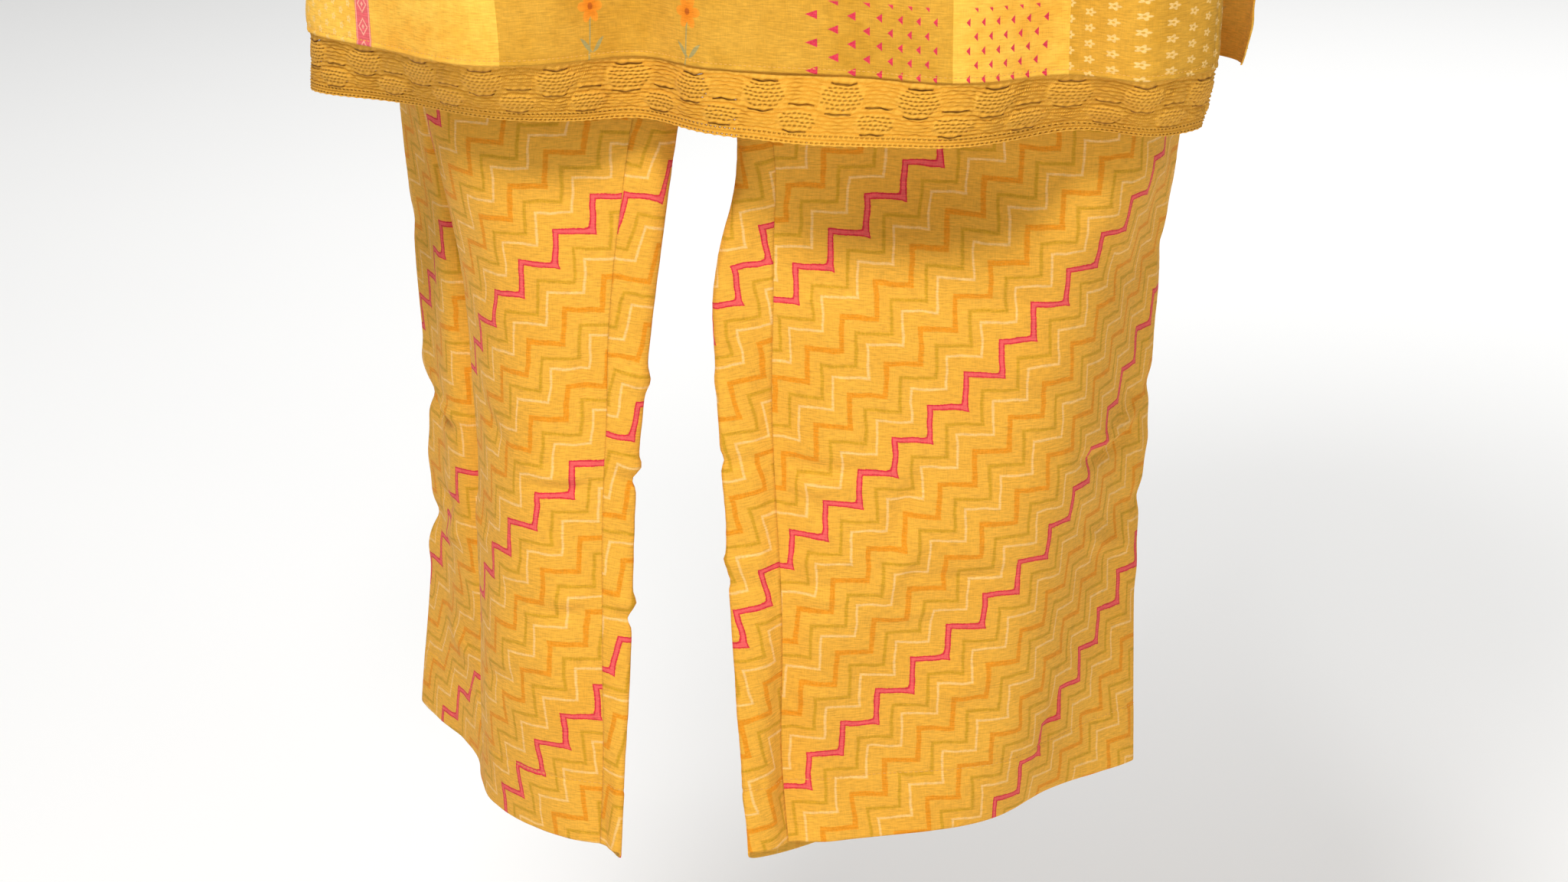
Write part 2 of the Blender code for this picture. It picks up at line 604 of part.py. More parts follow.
def add_lace(cloth):
    """The crochet band: a wall with three rows of slits cut through, and its leaves raised."""
    _, across, places, starts = lace_columns()
    slit_edges = [edge for top, _ in SLIT_ROWS for edge in (top, top + SLIT_HIGH)]
    drops = np.array([-LACE_TUCK, *slit_edges, BORDER_TOP, LACE_DROP])
    points = lace_surface(across, drops)
    normal = outward(points, face_normals(points), np.array([0.0, 0.0, HEM]))
    holes = []
    for row, (_, place) in enumerate(SLIT_ROWS):
        for start in starts[int(2 * place) :: 2]:
            holes.append((1 + 2 * row, int(np.argmin(np.abs(places - start)))))
    leaf = np.exp(-(((drops[:, None, None] - LEAF_MIDDLE) / LEAF_HALF) ** 2))
    face = points - (CLOTH + SEAM_GAP + LEAF_RELIEF) * normal
    wall("lace_band", face + LEAF_RELIEF * leaf * normal, face - LACE * normal, cloth, holes=holes)


def add_trousers(cloth):
    """Four panels. Neighbours share their normals along each seam, so their walls meet square."""
    panels = {(hand, side): leg_panel(hand, side) for hand in (1, -1) for side in (-1, 1)}
    normals = {}
    for (hand, side), points in panels.items():
        axis = points.mean(axis=1, keepdims=True)
        normal = face_normals(points)
        flip = np.sign(np.sum((points - axis) * normal))
        normals[hand, side] = normal * flip
    crotch = len(LEG_HEIGHTS) - 1
    for hand in (1, -1):
        front, back = normals[hand, -1], normals[hand, 1]
        shared = front[:, -1] + back[:, -1]
        front[:, -1] = back[:, -1] = shared / np.linalg.norm(shared, axis=-1, keepdims=True)
        inseam = front[:crotch, 0] + back[:crotch, 0]
        inseam /= np.linalg.norm(inseam, axis=-1, keepdims=True)
        front[:crotch, 0] = back[:crotch, 0] = inseam
        # The four panels meet at the crotch point, where the cloth faces straight down.
        front[crotch, 0] = back[crotch, 0] = (0.0, 0.0, -1.0)
        for face in (front, back):
            middle = face[crotch + 1 :, 0] * np.array([0.0, 1.0, 1.0])
            face[crotch + 1 :, 0] = middle / np.linalg.norm(middle, axis=-1, keepdims=True)
    for (hand, side), points in panels.items():
        name = f"trouser_{'left' if hand > 0 else 'right'}_{'front' if side < 0 else 'back'}"
        inner = points - CLOTH * normals[hand, side]
        faces = [drawn_in(face, SEAM_GAP / 2) for face in (points, inner)]
        for face in faces:
            apart(face[crotch:], hand)
        wall(name, *faces, cloth)


def add_waistband(cloth):
    """A closed band of elastic in a cotton casing, standing on the trousers' top edge."""
    turn = np.arange(WAISTBAND_AROUND) / WAISTBAND_AROUND * 2 * np.pi
    top = dict(zip(HIP_COLUMNS, HIPS[-1]))
    depth = np.where(np.cos(turn) > 0, top["front_depth"], top["back_depth"])
    levels = np.array([WAIST - WAISTBAND, WAIST - WAISTBAND / 2, WAIST])
    level = np.stack([top["half_width"] * np.sin(turn), -depth * np.cos(turn), 0 * turn], -1)
    points = level[None] + levels[:, None, None] * np.array([0.0, 0.0, 1.0])
    normal = outward(points, ring_normals(points), points.mean(axis=(0, 1)))
    # The band's wall and the trousers' below it have the same middle.
    middle = points - 0.5 * CLOTH * normal
    wall("waistband", middle + 0.5 * BAND * normal, middle - 0.5 * BAND * normal, cloth, closed=True)


def clear_scene():
    for item in list(bpy.data.objects):
        bpy.data.objects.remove(item)


def main():
    add_kameez(TUNIC_COTTON)
    add_sleeves(TUNIC_COTTON)
    add_lace(CROCHET_COTTON)
    add_trousers(PRINTED_COTTON)
    add_waistband(PRINTED_COTTON)


clear_scene()
SUIT = bpy.data.collections.new("salwar_kameez_suit")
bpy.context.scene.collection.children.link(SUIT)
main()
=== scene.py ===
"""The looks of a worn salwar kameez suit in printed mustard cotton, with a crochet hem band.

Every cloth piece is a fine wall on the same surface as its solid, worked out from the same named
sizes: a function of two parameters on a grid. The zigzag and the patchwork are printed in the
cloth's own flat coordinates, in metres, so they follow each fold.

Frame: metres, +Z up, the wearer faces -Y, and the wearer's left is +X.
"""

import bpy
import numpy as np
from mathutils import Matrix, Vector


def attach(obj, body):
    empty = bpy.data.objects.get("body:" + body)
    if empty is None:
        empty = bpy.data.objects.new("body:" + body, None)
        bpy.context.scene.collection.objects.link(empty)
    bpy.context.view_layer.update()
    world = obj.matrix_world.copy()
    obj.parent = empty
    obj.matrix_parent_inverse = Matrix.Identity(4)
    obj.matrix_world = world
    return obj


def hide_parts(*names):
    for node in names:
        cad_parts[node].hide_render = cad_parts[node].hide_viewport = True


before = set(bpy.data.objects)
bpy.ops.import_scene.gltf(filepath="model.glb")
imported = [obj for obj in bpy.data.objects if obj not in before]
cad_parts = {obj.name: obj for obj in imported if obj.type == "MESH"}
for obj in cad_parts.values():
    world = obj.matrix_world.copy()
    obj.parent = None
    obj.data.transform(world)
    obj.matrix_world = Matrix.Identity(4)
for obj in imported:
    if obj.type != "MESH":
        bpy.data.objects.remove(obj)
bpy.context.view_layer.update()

MM = 0.001

# The garment's sizes, the same as its solids have.
SEAM_GAP = 0.0003
NECK_HALF_WIDTH = 0.085
NECK_SHARE = 0.62
FRONT_NECK_DROP = 0.130
BACK_NECK_DROP = 0.025
SHOULDER_TIP_X = 0.185
SHOULDER_SLOPE = 0.42
SHOULDER_ROUND = 0.100
UNDERARM = -0.225
ARMHOLE_X = 0.168
OVAL_POWER = 0.9
SLIT_TOP = -0.580
HEM = -0.886
BACK_HEM = -0.917
BACK_FLARE = 0.005
LACE_DROP = 0.038
LACE_TUCK = 0.006
WAIST = -0.410
WAISTBAND = 0.040
CROTCH = -0.690
CROTCH_RISE = 0.080
TROUSER_HEM = -1.380
BACK_HEM_SAG = 0.009
SEAM_TURN = 37
CREASE_BLUNTNESS = 0.7
YOKE_CROWDING = 0.85
NECK_CROWDING = 1.6

KAMEEZ_COLUMNS = (
    "height", "centre_x", "half_width", "front_depth", "back_depth", "front_side", "back_side",
)
KAMEEZ = (
    (-0.924, 0.0170, 0.2600, 0.125, 0.142, 0.056, 0.078),
    (-0.886, 0.0235, 0.2615, 0.125, 0.142, 0.062, 0.078),
    (-0.850, 0.0235, 0.2630, 0.127, 0.141, 0.060, 0.072),
    (-0.750, 0.0150, 0.2500, 0.128, 0.139, 0.036, 0.044),
    (-0.640, 0.0040, 0.2280, 0.127, 0.133, 0.008, 0.010),
    (-0.580, 0.000, 0.2140, 0.125, 0.1305, 0.000, 0.000),
    (-0.500, 0.000, 0.1960, 0.117, 0.124, 0.000, 0.000),
    (-0.400, 0.000, 0.1820, 0.112, 0.112, 0.000, 0.000),
    (-0.300, 0.000, 0.1840, 0.124, 0.114, 0.000, 0.000),
    (-0.225, 0.000, 0.1880, 0.130, 0.116, 0.000, 0.000),
)
FOLD_COLUMNS = ("across", "out", "half_width", "reach")
FRONT_FOLDS = (
    (-0.125, 0.026, 0.050, -0.600),
    (-0.036, -0.025, 0.030, -0.640),
    (0.145, 0.015, 0.040, -0.640),
    (0.202, -0.011, 0.024, -0.660),
    (0.252, 0.014, 0.022, -0.700),
)
BACK_FOLDS = (
    (-0.190, 0.010, 0.030, -0.720),
    (-0.110, -0.014, 0.028, -0.760),
    (-0.020, 0.014, 0.040, -0.640),
    (0.080, -0.013, 0.026, -0.760),
    (0.170, 0.013, 0.034, -0.700),
)
SWING_COLUMNS = ("across", "out", "half_width")
LACE_SWINGS = (
    (-0.145, -0.030, 0.085),
    (0.075, 0.012, 0.045),
    (0.228, -0.020, 0.055),
)
LEG_FRONT_TURNS = (
    37, 43, 51, 60, 69, 77, 84, 90, 95, 99, 103, 107, 111, 116, 124, 135, 148, 161, 172, 180,
)
LEG_BACK_TURNS = (37, 18, 6, 0, -8, -20, -38, -64, -90, -116, -142, -160, -172, -180)
LEG_COLUMNS = (
    "height", "inner_x", "inner_y", "outer_x", "outer_y",
    "front_round", "front_bulge", "back_round", "back_bulge", "peak", "inseam",
)
LEFT_LEG = (
    (-1.380, 0.015, -0.047, 0.219, 0.155, 0.009, -0.013, 0.009, 0.012, 0.61, 37.0),
    (-1.270, 0.008, -0.051, 0.219, 0.139, 0.009, 0.014, 0.009, 0.020, 0.30, 37.0),
    (-1.150, 0.002, -0.056, 0.226, 0.124, 0.011, 0.043, 0.011, 0.028, 0.41, 37.0),
    (-1.040, -0.002, -0.061, 0.232, 0.112, 0.015, 0.054, 0.015, 0.034, 0.45, 37.0),
    (-0.948, 0.014, -0.065, 0.238, 0.096, 0.026, 0.043, 0.024, 0.040, 0.62, 27.0),
    (-0.820, 0.010, -0.038, 0.214, 0.050, 0.064, 0.016, 0.066, 0.022, 0.50, 12.0),
    (-0.740, 0.005, -0.010, 0.195, 0.014, 0.098, 0.002, 0.098, 0.006, 0.50, 3.0),
    (-0.690, 0.0, 0.0, 0.188, 0.000, 0.112, 0.000, 0.112, 0.000, 0.50, 0.0),
)
RIGHT_LEG = (
    (-1.380, -0.061, -0.062, -0.244, 0.177, 0.009, 0.027, 0.009, 0.010, 0.365, 28.0),
    (-1.250, -0.054, -0.062, -0.228, 0.152, 0.009, 0.043, 0.009, 0.018, 0.25, 21.5),
    (-1.150, -0.050, -0.061, -0.222, 0.127, 0.011, 0.042, 0.011, 0.026, 0.23, 21.5),
    (-1.050, -0.040, -0.061, -0.224, 0.112, 0.014, 0.044, 0.014, 0.034, 0.29, 26.0),
    (-0.948, -0.029, -0.060, -0.225, 0.096, 0.026, 0.052, 0.024, 0.038, 0.39, 25.0),
    (-0.820, -0.012, -0.038, -0.208, 0.050, 0.064, 0.016, 0.066, 0.022, 0.50, 14.0),
    (-0.740, -0.005, -0.010, -0.195, 0.014, 0.098, 0.002, 0.098, 0.006, 0.50, 3.0),
    (-0.690, 0.0, 0.0, -0.188, 0.000, 0.112, 0.000, 0.112, 0.000, 0.50, 0.0),
)
HIP_COLUMNS = ("height", "half_width", "front_depth", "back_depth")
HIPS = (
    (-0.690, 0.1880, 0.1120, 0.1120),
    (-0.640, 0.1880, 0.1150, 0.1210),
    (-0.580, 0.1840, 0.1150, 0.1290),
    (-0.510, 0.1720, 0.1080, 0.1200),
    (-0.450, 0.1570, 0.1000, 0.1060),
)
FOLD_FADE = 0.120
LEG_FOLD_COLUMNS = ("along_hem", "along_lace", "out", "half_width", "low", "high")
LEFT_LEG_FOLDS = (
    (0.105, 0.105, -0.009, 0.011, -1.500, -1.000),
    (0.507, 0.792, 0.039, 0.071, -1.520, -0.800),
)
RIGHT_LEG_FOLDS = (
    (0.050, 0.045, -0.006, 0.011, -1.500, -1.000),
    (0.555, 0.660, -0.032, 0.013, -1.390, -0.780),
    (0.640, 0.640, -0.013, 0.060, -1.520, -1.200),
    (0.760, 0.760, 0.005, 0.020, -1.380, -1.000),
)
SLEEVE_COLUMNS = ("centre_x", "centre_y", "centre_z", "half_out", "half_deep", "lean")
SLEEVE = (
    (0.2520, 0.000, -0.262, 0.0500, 0.0620, 24.0),
    (0.2880, -0.006, -0.375, 0.0480, 0.0560, 17.0),
    (0.3210, -0.018, -0.490, 0.0460, 0.0500, 16.0),
)
CAP_SLOPE, UNDERARM_SLOPE = 0.45, 0.70
CAP_LEAVE, CAP_ARRIVE = 0.36, 0.32
LACE_REPEAT = 0.0445
SLIT_LONG = 0.0140

# The fine cloth's own sizes.
CLOTH = 0.8 * MM  # the printed cotton's wall, doubled from the real 0.4 mm so that it has an edge
ELASTIC = 3.0 * MM
GATHERED_CLOTH = 1.6  # how much longer the print runs round the waistband than the elastic does
TROUSER_HEM_DEPTH = 40 * MM  # from the fold to its line of stitches
KAMEEZ_HEM_DEPTH = 3 * MM
BACK_HEM_DEPTH = 10 * MM
SLIT_HEM_DEPTH = 9 * MM
SLEEVE_HEM_DEPTH = 18 * MM
NECK_HEM_DEPTH = 7 * MM
HEM_STEP = 0.25 * MM  # how far the doubled cloth of a hem stands out
SAG_REACH = 70 * MM  # how far up the trousers' back hem sags
STITCH_GROOVE, STITCH_GROOVE_HALF = 0.45 * MM, 1.1 * MM
PUCKER_OUT, PUCKER_LONG, PUCKER_REACH = 0.32 * MM, 13 * MM, 9 * MM  # below a hem's stitches
FOLD_ROUND, FOLD_ROUND_HALF = 0.3 * MM, 0.8 * MM  # how a hem's fold turns in
SEAM_DITCH, SEAM_DITCH_HALF = 0.5 * MM, 1.8 * MM
SEAM_CALM = 7 * MM  # how far from a seam the cloth's waves and creases fade out
SEWN_GAP = 0.05 * MM  # between the printed faces of two pieces that are sewn together
GATHER_OUT, GATHER_PITCH, GATHER_REACH = 1.3 * MM, 8.5 * MM, 35 * MM  # under the waistband
TROUSER_STITCH, KAMEEZ_STITCH = 3.2 * MM, 2.8 * MM
# Rows of a grid: how high the fine ones reach on the legs and on the kameez, up to where the other
# piece hides them or the photo ends, and how many there are from the underarm to the shoulder.
LEG_ROWS_FINE, KAMEEZ_ROWS_FINE, RISE_ROWS = -0.93, 0.17, 49
PLEATS, PLEAT_OUT = 96, 0.55 * MM  # round the waistband
CASING_SWELL = 0.5 * MM  # how far the waistband's casing pulls in at its edges and stitching
SEAM_CROWDING = 0.45  # how much closer a trouser panel's columns lie at its seams
FLAT_START = 0.3  # the share of the way across a leg's front where its flat x is 0
# The soft waves that the cloth has all over: how far out and how far apart.
LEG_WAVES, LEG_RIPPLES = (0.5 * MM, 70 * MM), (0.10 * MM, 19 * MM)
KAMEEZ_WAVES, SLEEVE_WAVES = (0.4 * MM, 80 * MM), (0.5 * MM, 60 * MM)

# The zigzag: the height and width of one step, the distance between two red lines measured along
# a side of the step, and each line's place in that distance, half width and sRGB colour.
STEP = 21 * MM
PRINT_REPEAT = 160 * MM
ZIGZAG_COLUMNS = ("place", "half_width", "softness", "colour")
ZIGZAG = (
    (0.128, 1.00, 0.75, "BE8E18"),
    (0.205, 0.70, 0.50, "F3C680"),
    (0.338, 1.55, 0.40, "DF8406"),
    (0.453, 1.05, 0.75, "BE8E18"),
    (0.534, 0.70, 0.50, "F3C680"),
    (0.665, 1.55, 0.40, "DF8406"),
    (0.777, 1.05, 0.75, "BE8E18"),
    (0.858, 0.70, 0.50, "F3C680"),
)
RED_HALF, RED_FILL_HALF = 1.85, 1.0  # in millimetres

# The patchwork's patches, in millimetres, and where each piece was cut from it, in metres.
PATCH_WIDE, PATCH_HIGH = 92.0, 62.0
PATCHWORK_SHIFT = {
    "kameez_front": (0.02, 0.0), "kameez_back": (0.31, 0.047),
    "sleeve_left": (0.13, 0.12), "sleeve_right": (0.13, -0.02),
}


def smooth_step(x):
    """0 below 0, 1 above 1, and 3x^2 - 2x^3 between."""
    x = np.clip(x, 0.0, 1.0)
    return x * x * (3.0 - 2.0 * x)


def bell(x, half_width):
    """exp(-(x / half_width)^2)."""
    return np.exp(-((x / half_width) ** 2))


def unit(vectors):
    """The vectors made one long."""
    return vectors / np.linalg.norm(vectors, axis=-1, keepdims=True)


def column(columns, rows, name, heights):
    """One column of a table, read at heights by a cubic through its rows with averaged slopes."""
    table = np.array(rows, float)
    table = table[np.argsort(table[:, 0])]
    at, value = table[:, 0], table[:, columns.index(name)]
    step = np.diff(value) / np.diff(at)
    both = step[1:] * step[:-1]
    steady = both > 0
    inner = np.where(steady, 2 * both / np.where(steady, step[1:] + step[:-1], 1.0), 0.0)
    slope = np.concatenate([[step[0]], inner, [step[-1]]])
    heights = np.clip(heights, at[0], at[-1])
    i = np.clip(np.searchsorted(at, heights, side="right") - 1, 0, len(at) - 2)
    wide = at[i + 1] - at[i]
    t = (heights - at[i]) / wide
    return (
        (2 * t**3 - 3 * t**2 + 1) * value[i]
        + (t**3 - 2 * t**2 + t) * wide * slope[i]
        + (3 * t**2 - 2 * t**3) * value[i + 1]
        + (t**3 - t**2) * wide * slope[i + 1]
    )


def flap_folds(folds, x, z):
    """How far the folds push the flap out: a bell across each, fading up to its reach."""
    out = np.zeros(np.broadcast(x, z).shape)
    for row in folds:
        fold = dict(zip(FOLD_COLUMNS, row))
        fade = smooth_step((fold["reach"] - z) / (fold["reach"] - HEM))
        out += fold["out"] * fade * bell(x - fold["across"], fold["half_width"])
    return out


def lace_swing(x):
    """How far the lace's lower edge swings out past the hem above it."""
    out = np.zeros(x.shape)
    for row in LACE_SWINGS:
        swing = dict(zip(SWING_COLUMNS, row))
        out += swing["out"] * bell(x - swing["across"], swing["half_width"])
    return out


def kameez_below(side, across, z):
    """The kameez below the underarm: each level is half an oval. side is -1 for the front."""
    def read(name):
        return column(KAMEEZ_COLUMNS, KAMEEZ, name, z)

    turn = across * np.pi / 2
    word = "front" if side < 0 else "back"
    flare = BACK_FLARE * smooth_step((SLIT_TOP - z) / (SLIT_TOP - HEM)) if side > 0 else 0.0
    x = read("centre_x") + (read("half_width") + flare) * np.sin(turn)
    depth, edge = read(word + "_depth"), read(word + "_side")
    folds = FRONT_FOLDS if side < 0 else BACK_FOLDS
    y = edge + (depth - edge) * np.cos(turn) ** OVAL_POWER + flap_folds(folds, x, z)
    if side < 0:
        y = y + lace_swing(x) * np.clip((HEM - z) / LACE_DROP, 0, 1)
    return np.stack([x, side * y, z + 0 * x], -1)


def kameez_above(side, across, rise):
    """The kameez above the underarm, rise going from 0 there to 1 at the neck and shoulders."""
    size = np.abs(across)
    crowded = YOKE_CROWDING * np.clip(size / NECK_SHARE, 0, 1) ** 3
    height = rise + (np.sin(rise * np.pi / 2) - rise) * crowded
    drop = FRONT_NECK_DROP if side < 0 else BACK_NECK_DROP
    around_neck = (1 - (1 - np.clip(size / NECK_SHARE, 0, 1)) ** NECK_CROWDING) * np.pi / 2
    along_shoulder = np.clip((size - NECK_SHARE) / (1 - NECK_SHARE), 0, 1)
    top_x = np.where(
        size < NECK_SHARE,
        NECK_HALF_WIDTH * np.sin(around_neck),
        NECK_HALF_WIDTH + (SHOULDER_TIP_X - NECK_HALF_WIDTH) * along_shoulder,
    )
    top_z = np.where(
        size < NECK_SHARE,
        -drop * np.cos(around_neck),
        -SHOULDER_SLOPE * (top_x - NECK_HALF_WIDTH),
    )
    chest = column(KAMEEZ_COLUMNS, KAMEEZ, "half_width", UNDERARM)
    low_x = chest * np.sin(size * np.pi / 2)
    edge = chest + (SHOULDER_TIP_X - chest) * rise
    hollow = (edge - ARMHOLE_X) * (1 - np.abs(2 * rise - 1) ** 3)
    x = (low_x + (top_x - low_x) * rise) * (1 - hollow / edge)
    z = UNDERARM + (top_z - UNDERARM) * height
    seam_z = -SHOULDER_SLOPE * (x - NECK_HALF_WIDTH)
    depth = column(KAMEEZ_COLUMNS, KAMEEZ, "front_depth" if side < 0 else "back_depth", UNDERARM)
    oval = np.clip(1 - (x / chest) ** 2, 0, 1) ** (OVAL_POWER / 2)
    near = np.clip((seam_z - z) / SHOULDER_ROUND, 0, 1)
    y = depth * oval * np.sqrt(np.clip(1 - (1 - near) ** 2, 0, 1))
    return np.stack([np.sign(across) * x, side * y, z], -1)


def leg_section(rows, folds, turn, z):
    """A trouser leg at height z, turn radians round from the inner crease by the front.

    It lies on the chord from the inner to the outer crease at (1 - cos turn) / 2 of its length,
    moved off it by an oval, by a bulge (the square of a sine along the chord) and by its folds.
    """
    def read(name):
        return column(LEG_COLUMNS, rows, name, z)

    inner = np.stack([read("inner_x"), read("inner_y")], -1)
    chord = np.stack([read("outer_x"), read("outer_y")], -1) - inner
    long = np.linalg.norm(chord, axis=-1)
    way = chord / long[..., None]
    hand = np.sign(rows[0][LEG_COLUMNS.index("outer_x")])
    out = hand * np.stack([way[..., 1], -way[..., 0]], -1)
    share = (1 - np.cos(turn)) / 2
    skew = np.log(0.5) / np.log(read("peak"))
    climb = np.abs(np.sin(turn)) ** CREASE_BLUNTNESS
    front_off = read("front_round") * climb + read("front_bulge") * np.sin(np.pi * share**skew) ** 2
    back_off = -read("back_round") * climb - read("back_bulge") * np.sin(np.pi * share) ** 2
    climbed = (z - TROUSER_HEM) / (HEM - LACE_DROP - TROUSER_HEM)
    for row in folds:
        fold = dict(zip(LEG_FOLD_COLUMNS, row))
        fade_in = smooth_step((z - fold["low"]) / FOLD_FADE)
        fade_out = smooth_step((fold["high"] - z) / FOLD_FADE)
        along = fold["along_hem"] + (fold["along_lace"] - fold["along_hem"]) * climbed
        ends = np.clip(2.5 * np.abs(np.sin(turn)), 0, 1)
        shape = bell((share - along) * long, fold["half_width"]) * ends
        front_off = front_off + fold["out"] * fade_in * fade_out * shape
    off = np.where(np.sin(turn) >= 0, front_off, back_off)
    place = inner + way * (share * long)[..., None] + out * off[..., None]
    return np.concatenate([place, (z + 0 * share)[..., None]], -1)


def hip_section(hand, side, across, z):
    """The trousers above the crotch: part of an oval from the crotch seam to the side seam."""
    def read(name):
        return column(HIP_COLUMNS, HIPS, name, z)

    climb = np.clip((z - CROTCH) / CROTCH_RISE, 0, 1)
    start = np.arccos(1 - climb)
    turn = start + (np.pi - start) * across
    half = read("half_width") / (1 + np.cos(start))
    x = half * (np.cos(start) - np.cos(turn))
    depth = read("front_depth" if side < 0 else "back_depth")
    return np.stack([hand * x, side * depth * np.sin(turn), z + 0 * x], -1)


def face_normals(points):
    """The unit normal at each point of a grid, from the cross product of its two tangents."""
    normal = np.cross(np.gradient(points, axis=1), np.gradient(points, axis=0))
    return normal / (np.linalg.norm(normal, axis=-1, keepdims=True) + 1e-12)


def ring_normals(points):
    """Unit normals of a grid whose columns close on themselves."""
    wrapped = np.concatenate([points[:, -1:], points, points[:, :1]], axis=1)
    return face_normals(wrapped)[:, 1:-1]


def outward(points, normal, centre):
    """The normals turned, all together, to point away from centre."""
    return normal if np.sum((points - centre) * normal) > 0 else -normal


def lengths(points, axis):
    """The length along a grid's rows (axis 1) or columns (axis 0), from its first point."""
    step = np.linalg.norm(np.diff(points, axis=axis), axis=-1)
    start = np.zeros_like(np.take(step, [0], axis=axis))
    return np.concatenate([start, np.cumsum(step, axis=axis)], axis=axis)


def link(name, vertices, faces, materials=(), face_uv=None, material_of=None, crest=None):
    """A smooth mesh object from whole arrays, with its cloth coordinates as a UV map."""
    mesh = bpy.data.meshes.new(name)
    faces = np.asarray(faces)
    sides = faces.shape[1]
    mesh.vertices.add(len(vertices))
    mesh.vertices.foreach_set("co", np.asarray(vertices, np.float32).ravel())
    mesh.loops.add(faces.size)
    mesh.loops.foreach_set("vertex_index", faces.ravel().astype(np.int32))
    mesh.polygons.add(len(faces))
    mesh.polygons.foreach_set("loop_start", np.arange(0, faces.size, sides, dtype=np.int32))
    mesh.update(calc_edges=True)
    mesh.validate()
    for material in materials:
        mesh.materials.append(material)
    if material_of is not None:
        mesh.polygons.foreach_set("material_index", np.asarray(material_of, np.int32))
    if face_uv is not None:
        mesh.uv_layers.new(name="cloth").data.foreach_set("uv", face_uv.astype(np.float32).ravel())
    # The crochet yarn's painted light and shade, one value to a point.
    if crest is not None:
        layer = mesh.attributes.new("crest", "FLOAT", "POINT")
        layer.data.foreach_set("value", np.asarray(crest, np.float32).ravel())
    mesh.shade_smooth()
    piece = bpy.data.objects.new(name, mesh)
    bpy.context.scene.collection.objects.link(piece)
    return piece


def wall(name, outer, inner, cloth_uv, materials, closed=False, kept=None, crest=None):
    """A closed wall between two grids, with rims along its edges and round the quads left out.

    cloth_uv has one column more than a closed grid, for the far side of its last quads. The first
    material is the printed face and the second the wrong side.
    """
    rows, columns = outer.shape[:2]
    wide = columns if closed else columns - 1
    row, col = np.meshgrid(np.arange(rows - 1), np.arange(wide), indexing="ij")
    kept = np.ones((rows - 1, wide), bool) if kept is None else kept
    corners = [(row, col), (row, col + 1), (row + 1, col + 1), (row + 1, col)]
    at = np.stack([r * columns + c % columns for r, c in corners], -1)
    uv = np.stack([cloth_uv[r, c] for r, c in corners], -2)
    count = rows * columns
    order = [0, 3, 2, 1]
    faces = [at[kept], count + at[kept][:, order]]
    uvs = [uv[kept], uv[kept][:, order]]
    index = [np.zeros(kept.sum()), np.ones(kept.sum())]
    around = np.pad(kept, 1)
    if closed:
        around[1:-1, 0], around[1:-1, -1] = kept[:, -1], kept[:, 0]
    beside = (around[:-2, 1:-1], around[1:-1, 2:], around[2:, 1:-1], around[1:-1, :-2])
    for edge, neighbour in enumerate(beside):
        rim = kept & ~neighbour
        a, b = at[rim][:, edge], at[rim][:, (edge + 1) % 4]
        uv_a, uv_b = uv[rim][:, edge], uv[rim][:, (edge + 1) % 4]
        faces.append(np.stack([b, a, count + a, count + b], -1))
        uvs.append(np.stack([uv_b, uv_a, uv_a, uv_b], 1))
        index.append(np.zeros(rim.sum()))
    faces, uvs = np.concatenate(faces), np.concatenate(uvs)
    vertices = np.concatenate([outer.reshape(-1, 3), inner.reshape(-1, 3)])
    first = vertices[faces[: kept.sum()]]
    normal = np.cross(first[:, 1] - first[:, 0], first[:, 3] - first[:, 0])
    away = (outer - inner).reshape(-1, 3)[faces[: kept.sum(), 0]]
    if np.sum(normal * away) < 0:
        faces, uvs = faces[:, ::-1], uvs[:, ::-1]
    # The painted light and shade, the same on both faces.
    crest = None if crest is None else np.concatenate([crest.ravel(), crest.ravel()])
    return link(name, vertices, faces, materials, uvs, np.concatenate(index), crest)


def linear(hex_colour):
    """A linear RGBA colour from an sRGB hex one."""
    value = np.array([int(hex_colour[i : i + 2], 16) / 255 for i in (0, 2, 4)])
    value = np.where(value <= 0.04045, value / 12.92, ((value + 0.055) / 1.055) ** 2.4)
    return (*value, 1.0)


def add(tree, kind, inputs=(), **settings):
    """Adds a node with its settings, and links or sets its inputs. Returns the node."""
    node = tree.nodes.new(kind)
    for name, value in settings.items():
        setattr(node, name, value)
    for key, value in dict(inputs).items():
        if isinstance(value, bpy.types.NodeSocket):
            tree.links.new(value, node.inputs[key])
        else:
            node.inputs[key].default_value = value
    return node


class Sums:
    """Sums on the sockets of one material's tree."""

    def __init__(self, tree):
        self.tree = tree

    def math(self, operation, *values, clamp=False):
        inputs = dict(enumerate(values))
        return add(self.tree, "ShaderNodeMath", inputs, operation=operation, use_clamp=clamp).outputs[0]

    def below(self, value, limit, soft):
        """1 where value is under limit, 0 past it, softened over soft on either side."""
        inputs = {0: value, 1: limit + soft, 2: limit - soft, 3: 0.0, 4: 1.0}
        kind = "ShaderNodeMapRange"
        return add(self.tree, kind, inputs, interpolation_type="SMOOTHSTEP").outputs[0]

    def mix(self, share, a, b, blend="MIX"):
        """Colour a, or b where share is 1."""
        inputs = {0: share, 6: a, 7: b}
        kind = "ShaderNodeMix"
        return add(self.tree, kind, inputs, data_type="RGBA", blend_type=blend).outputs[2]

    def noise(self, place, scale, detail=2.0, output=0):
        inputs = {"Vector": place, "Scale": scale, "Detail": detail}
        return add(self.tree, "ShaderNodeTexNoise", inputs).outputs[output]

    def stretched(self, place, scale):
        inputs = {"Vector": place, "Scale": scale}
        return add(self.tree, "ShaderNodeMapping", inputs).outputs[0]


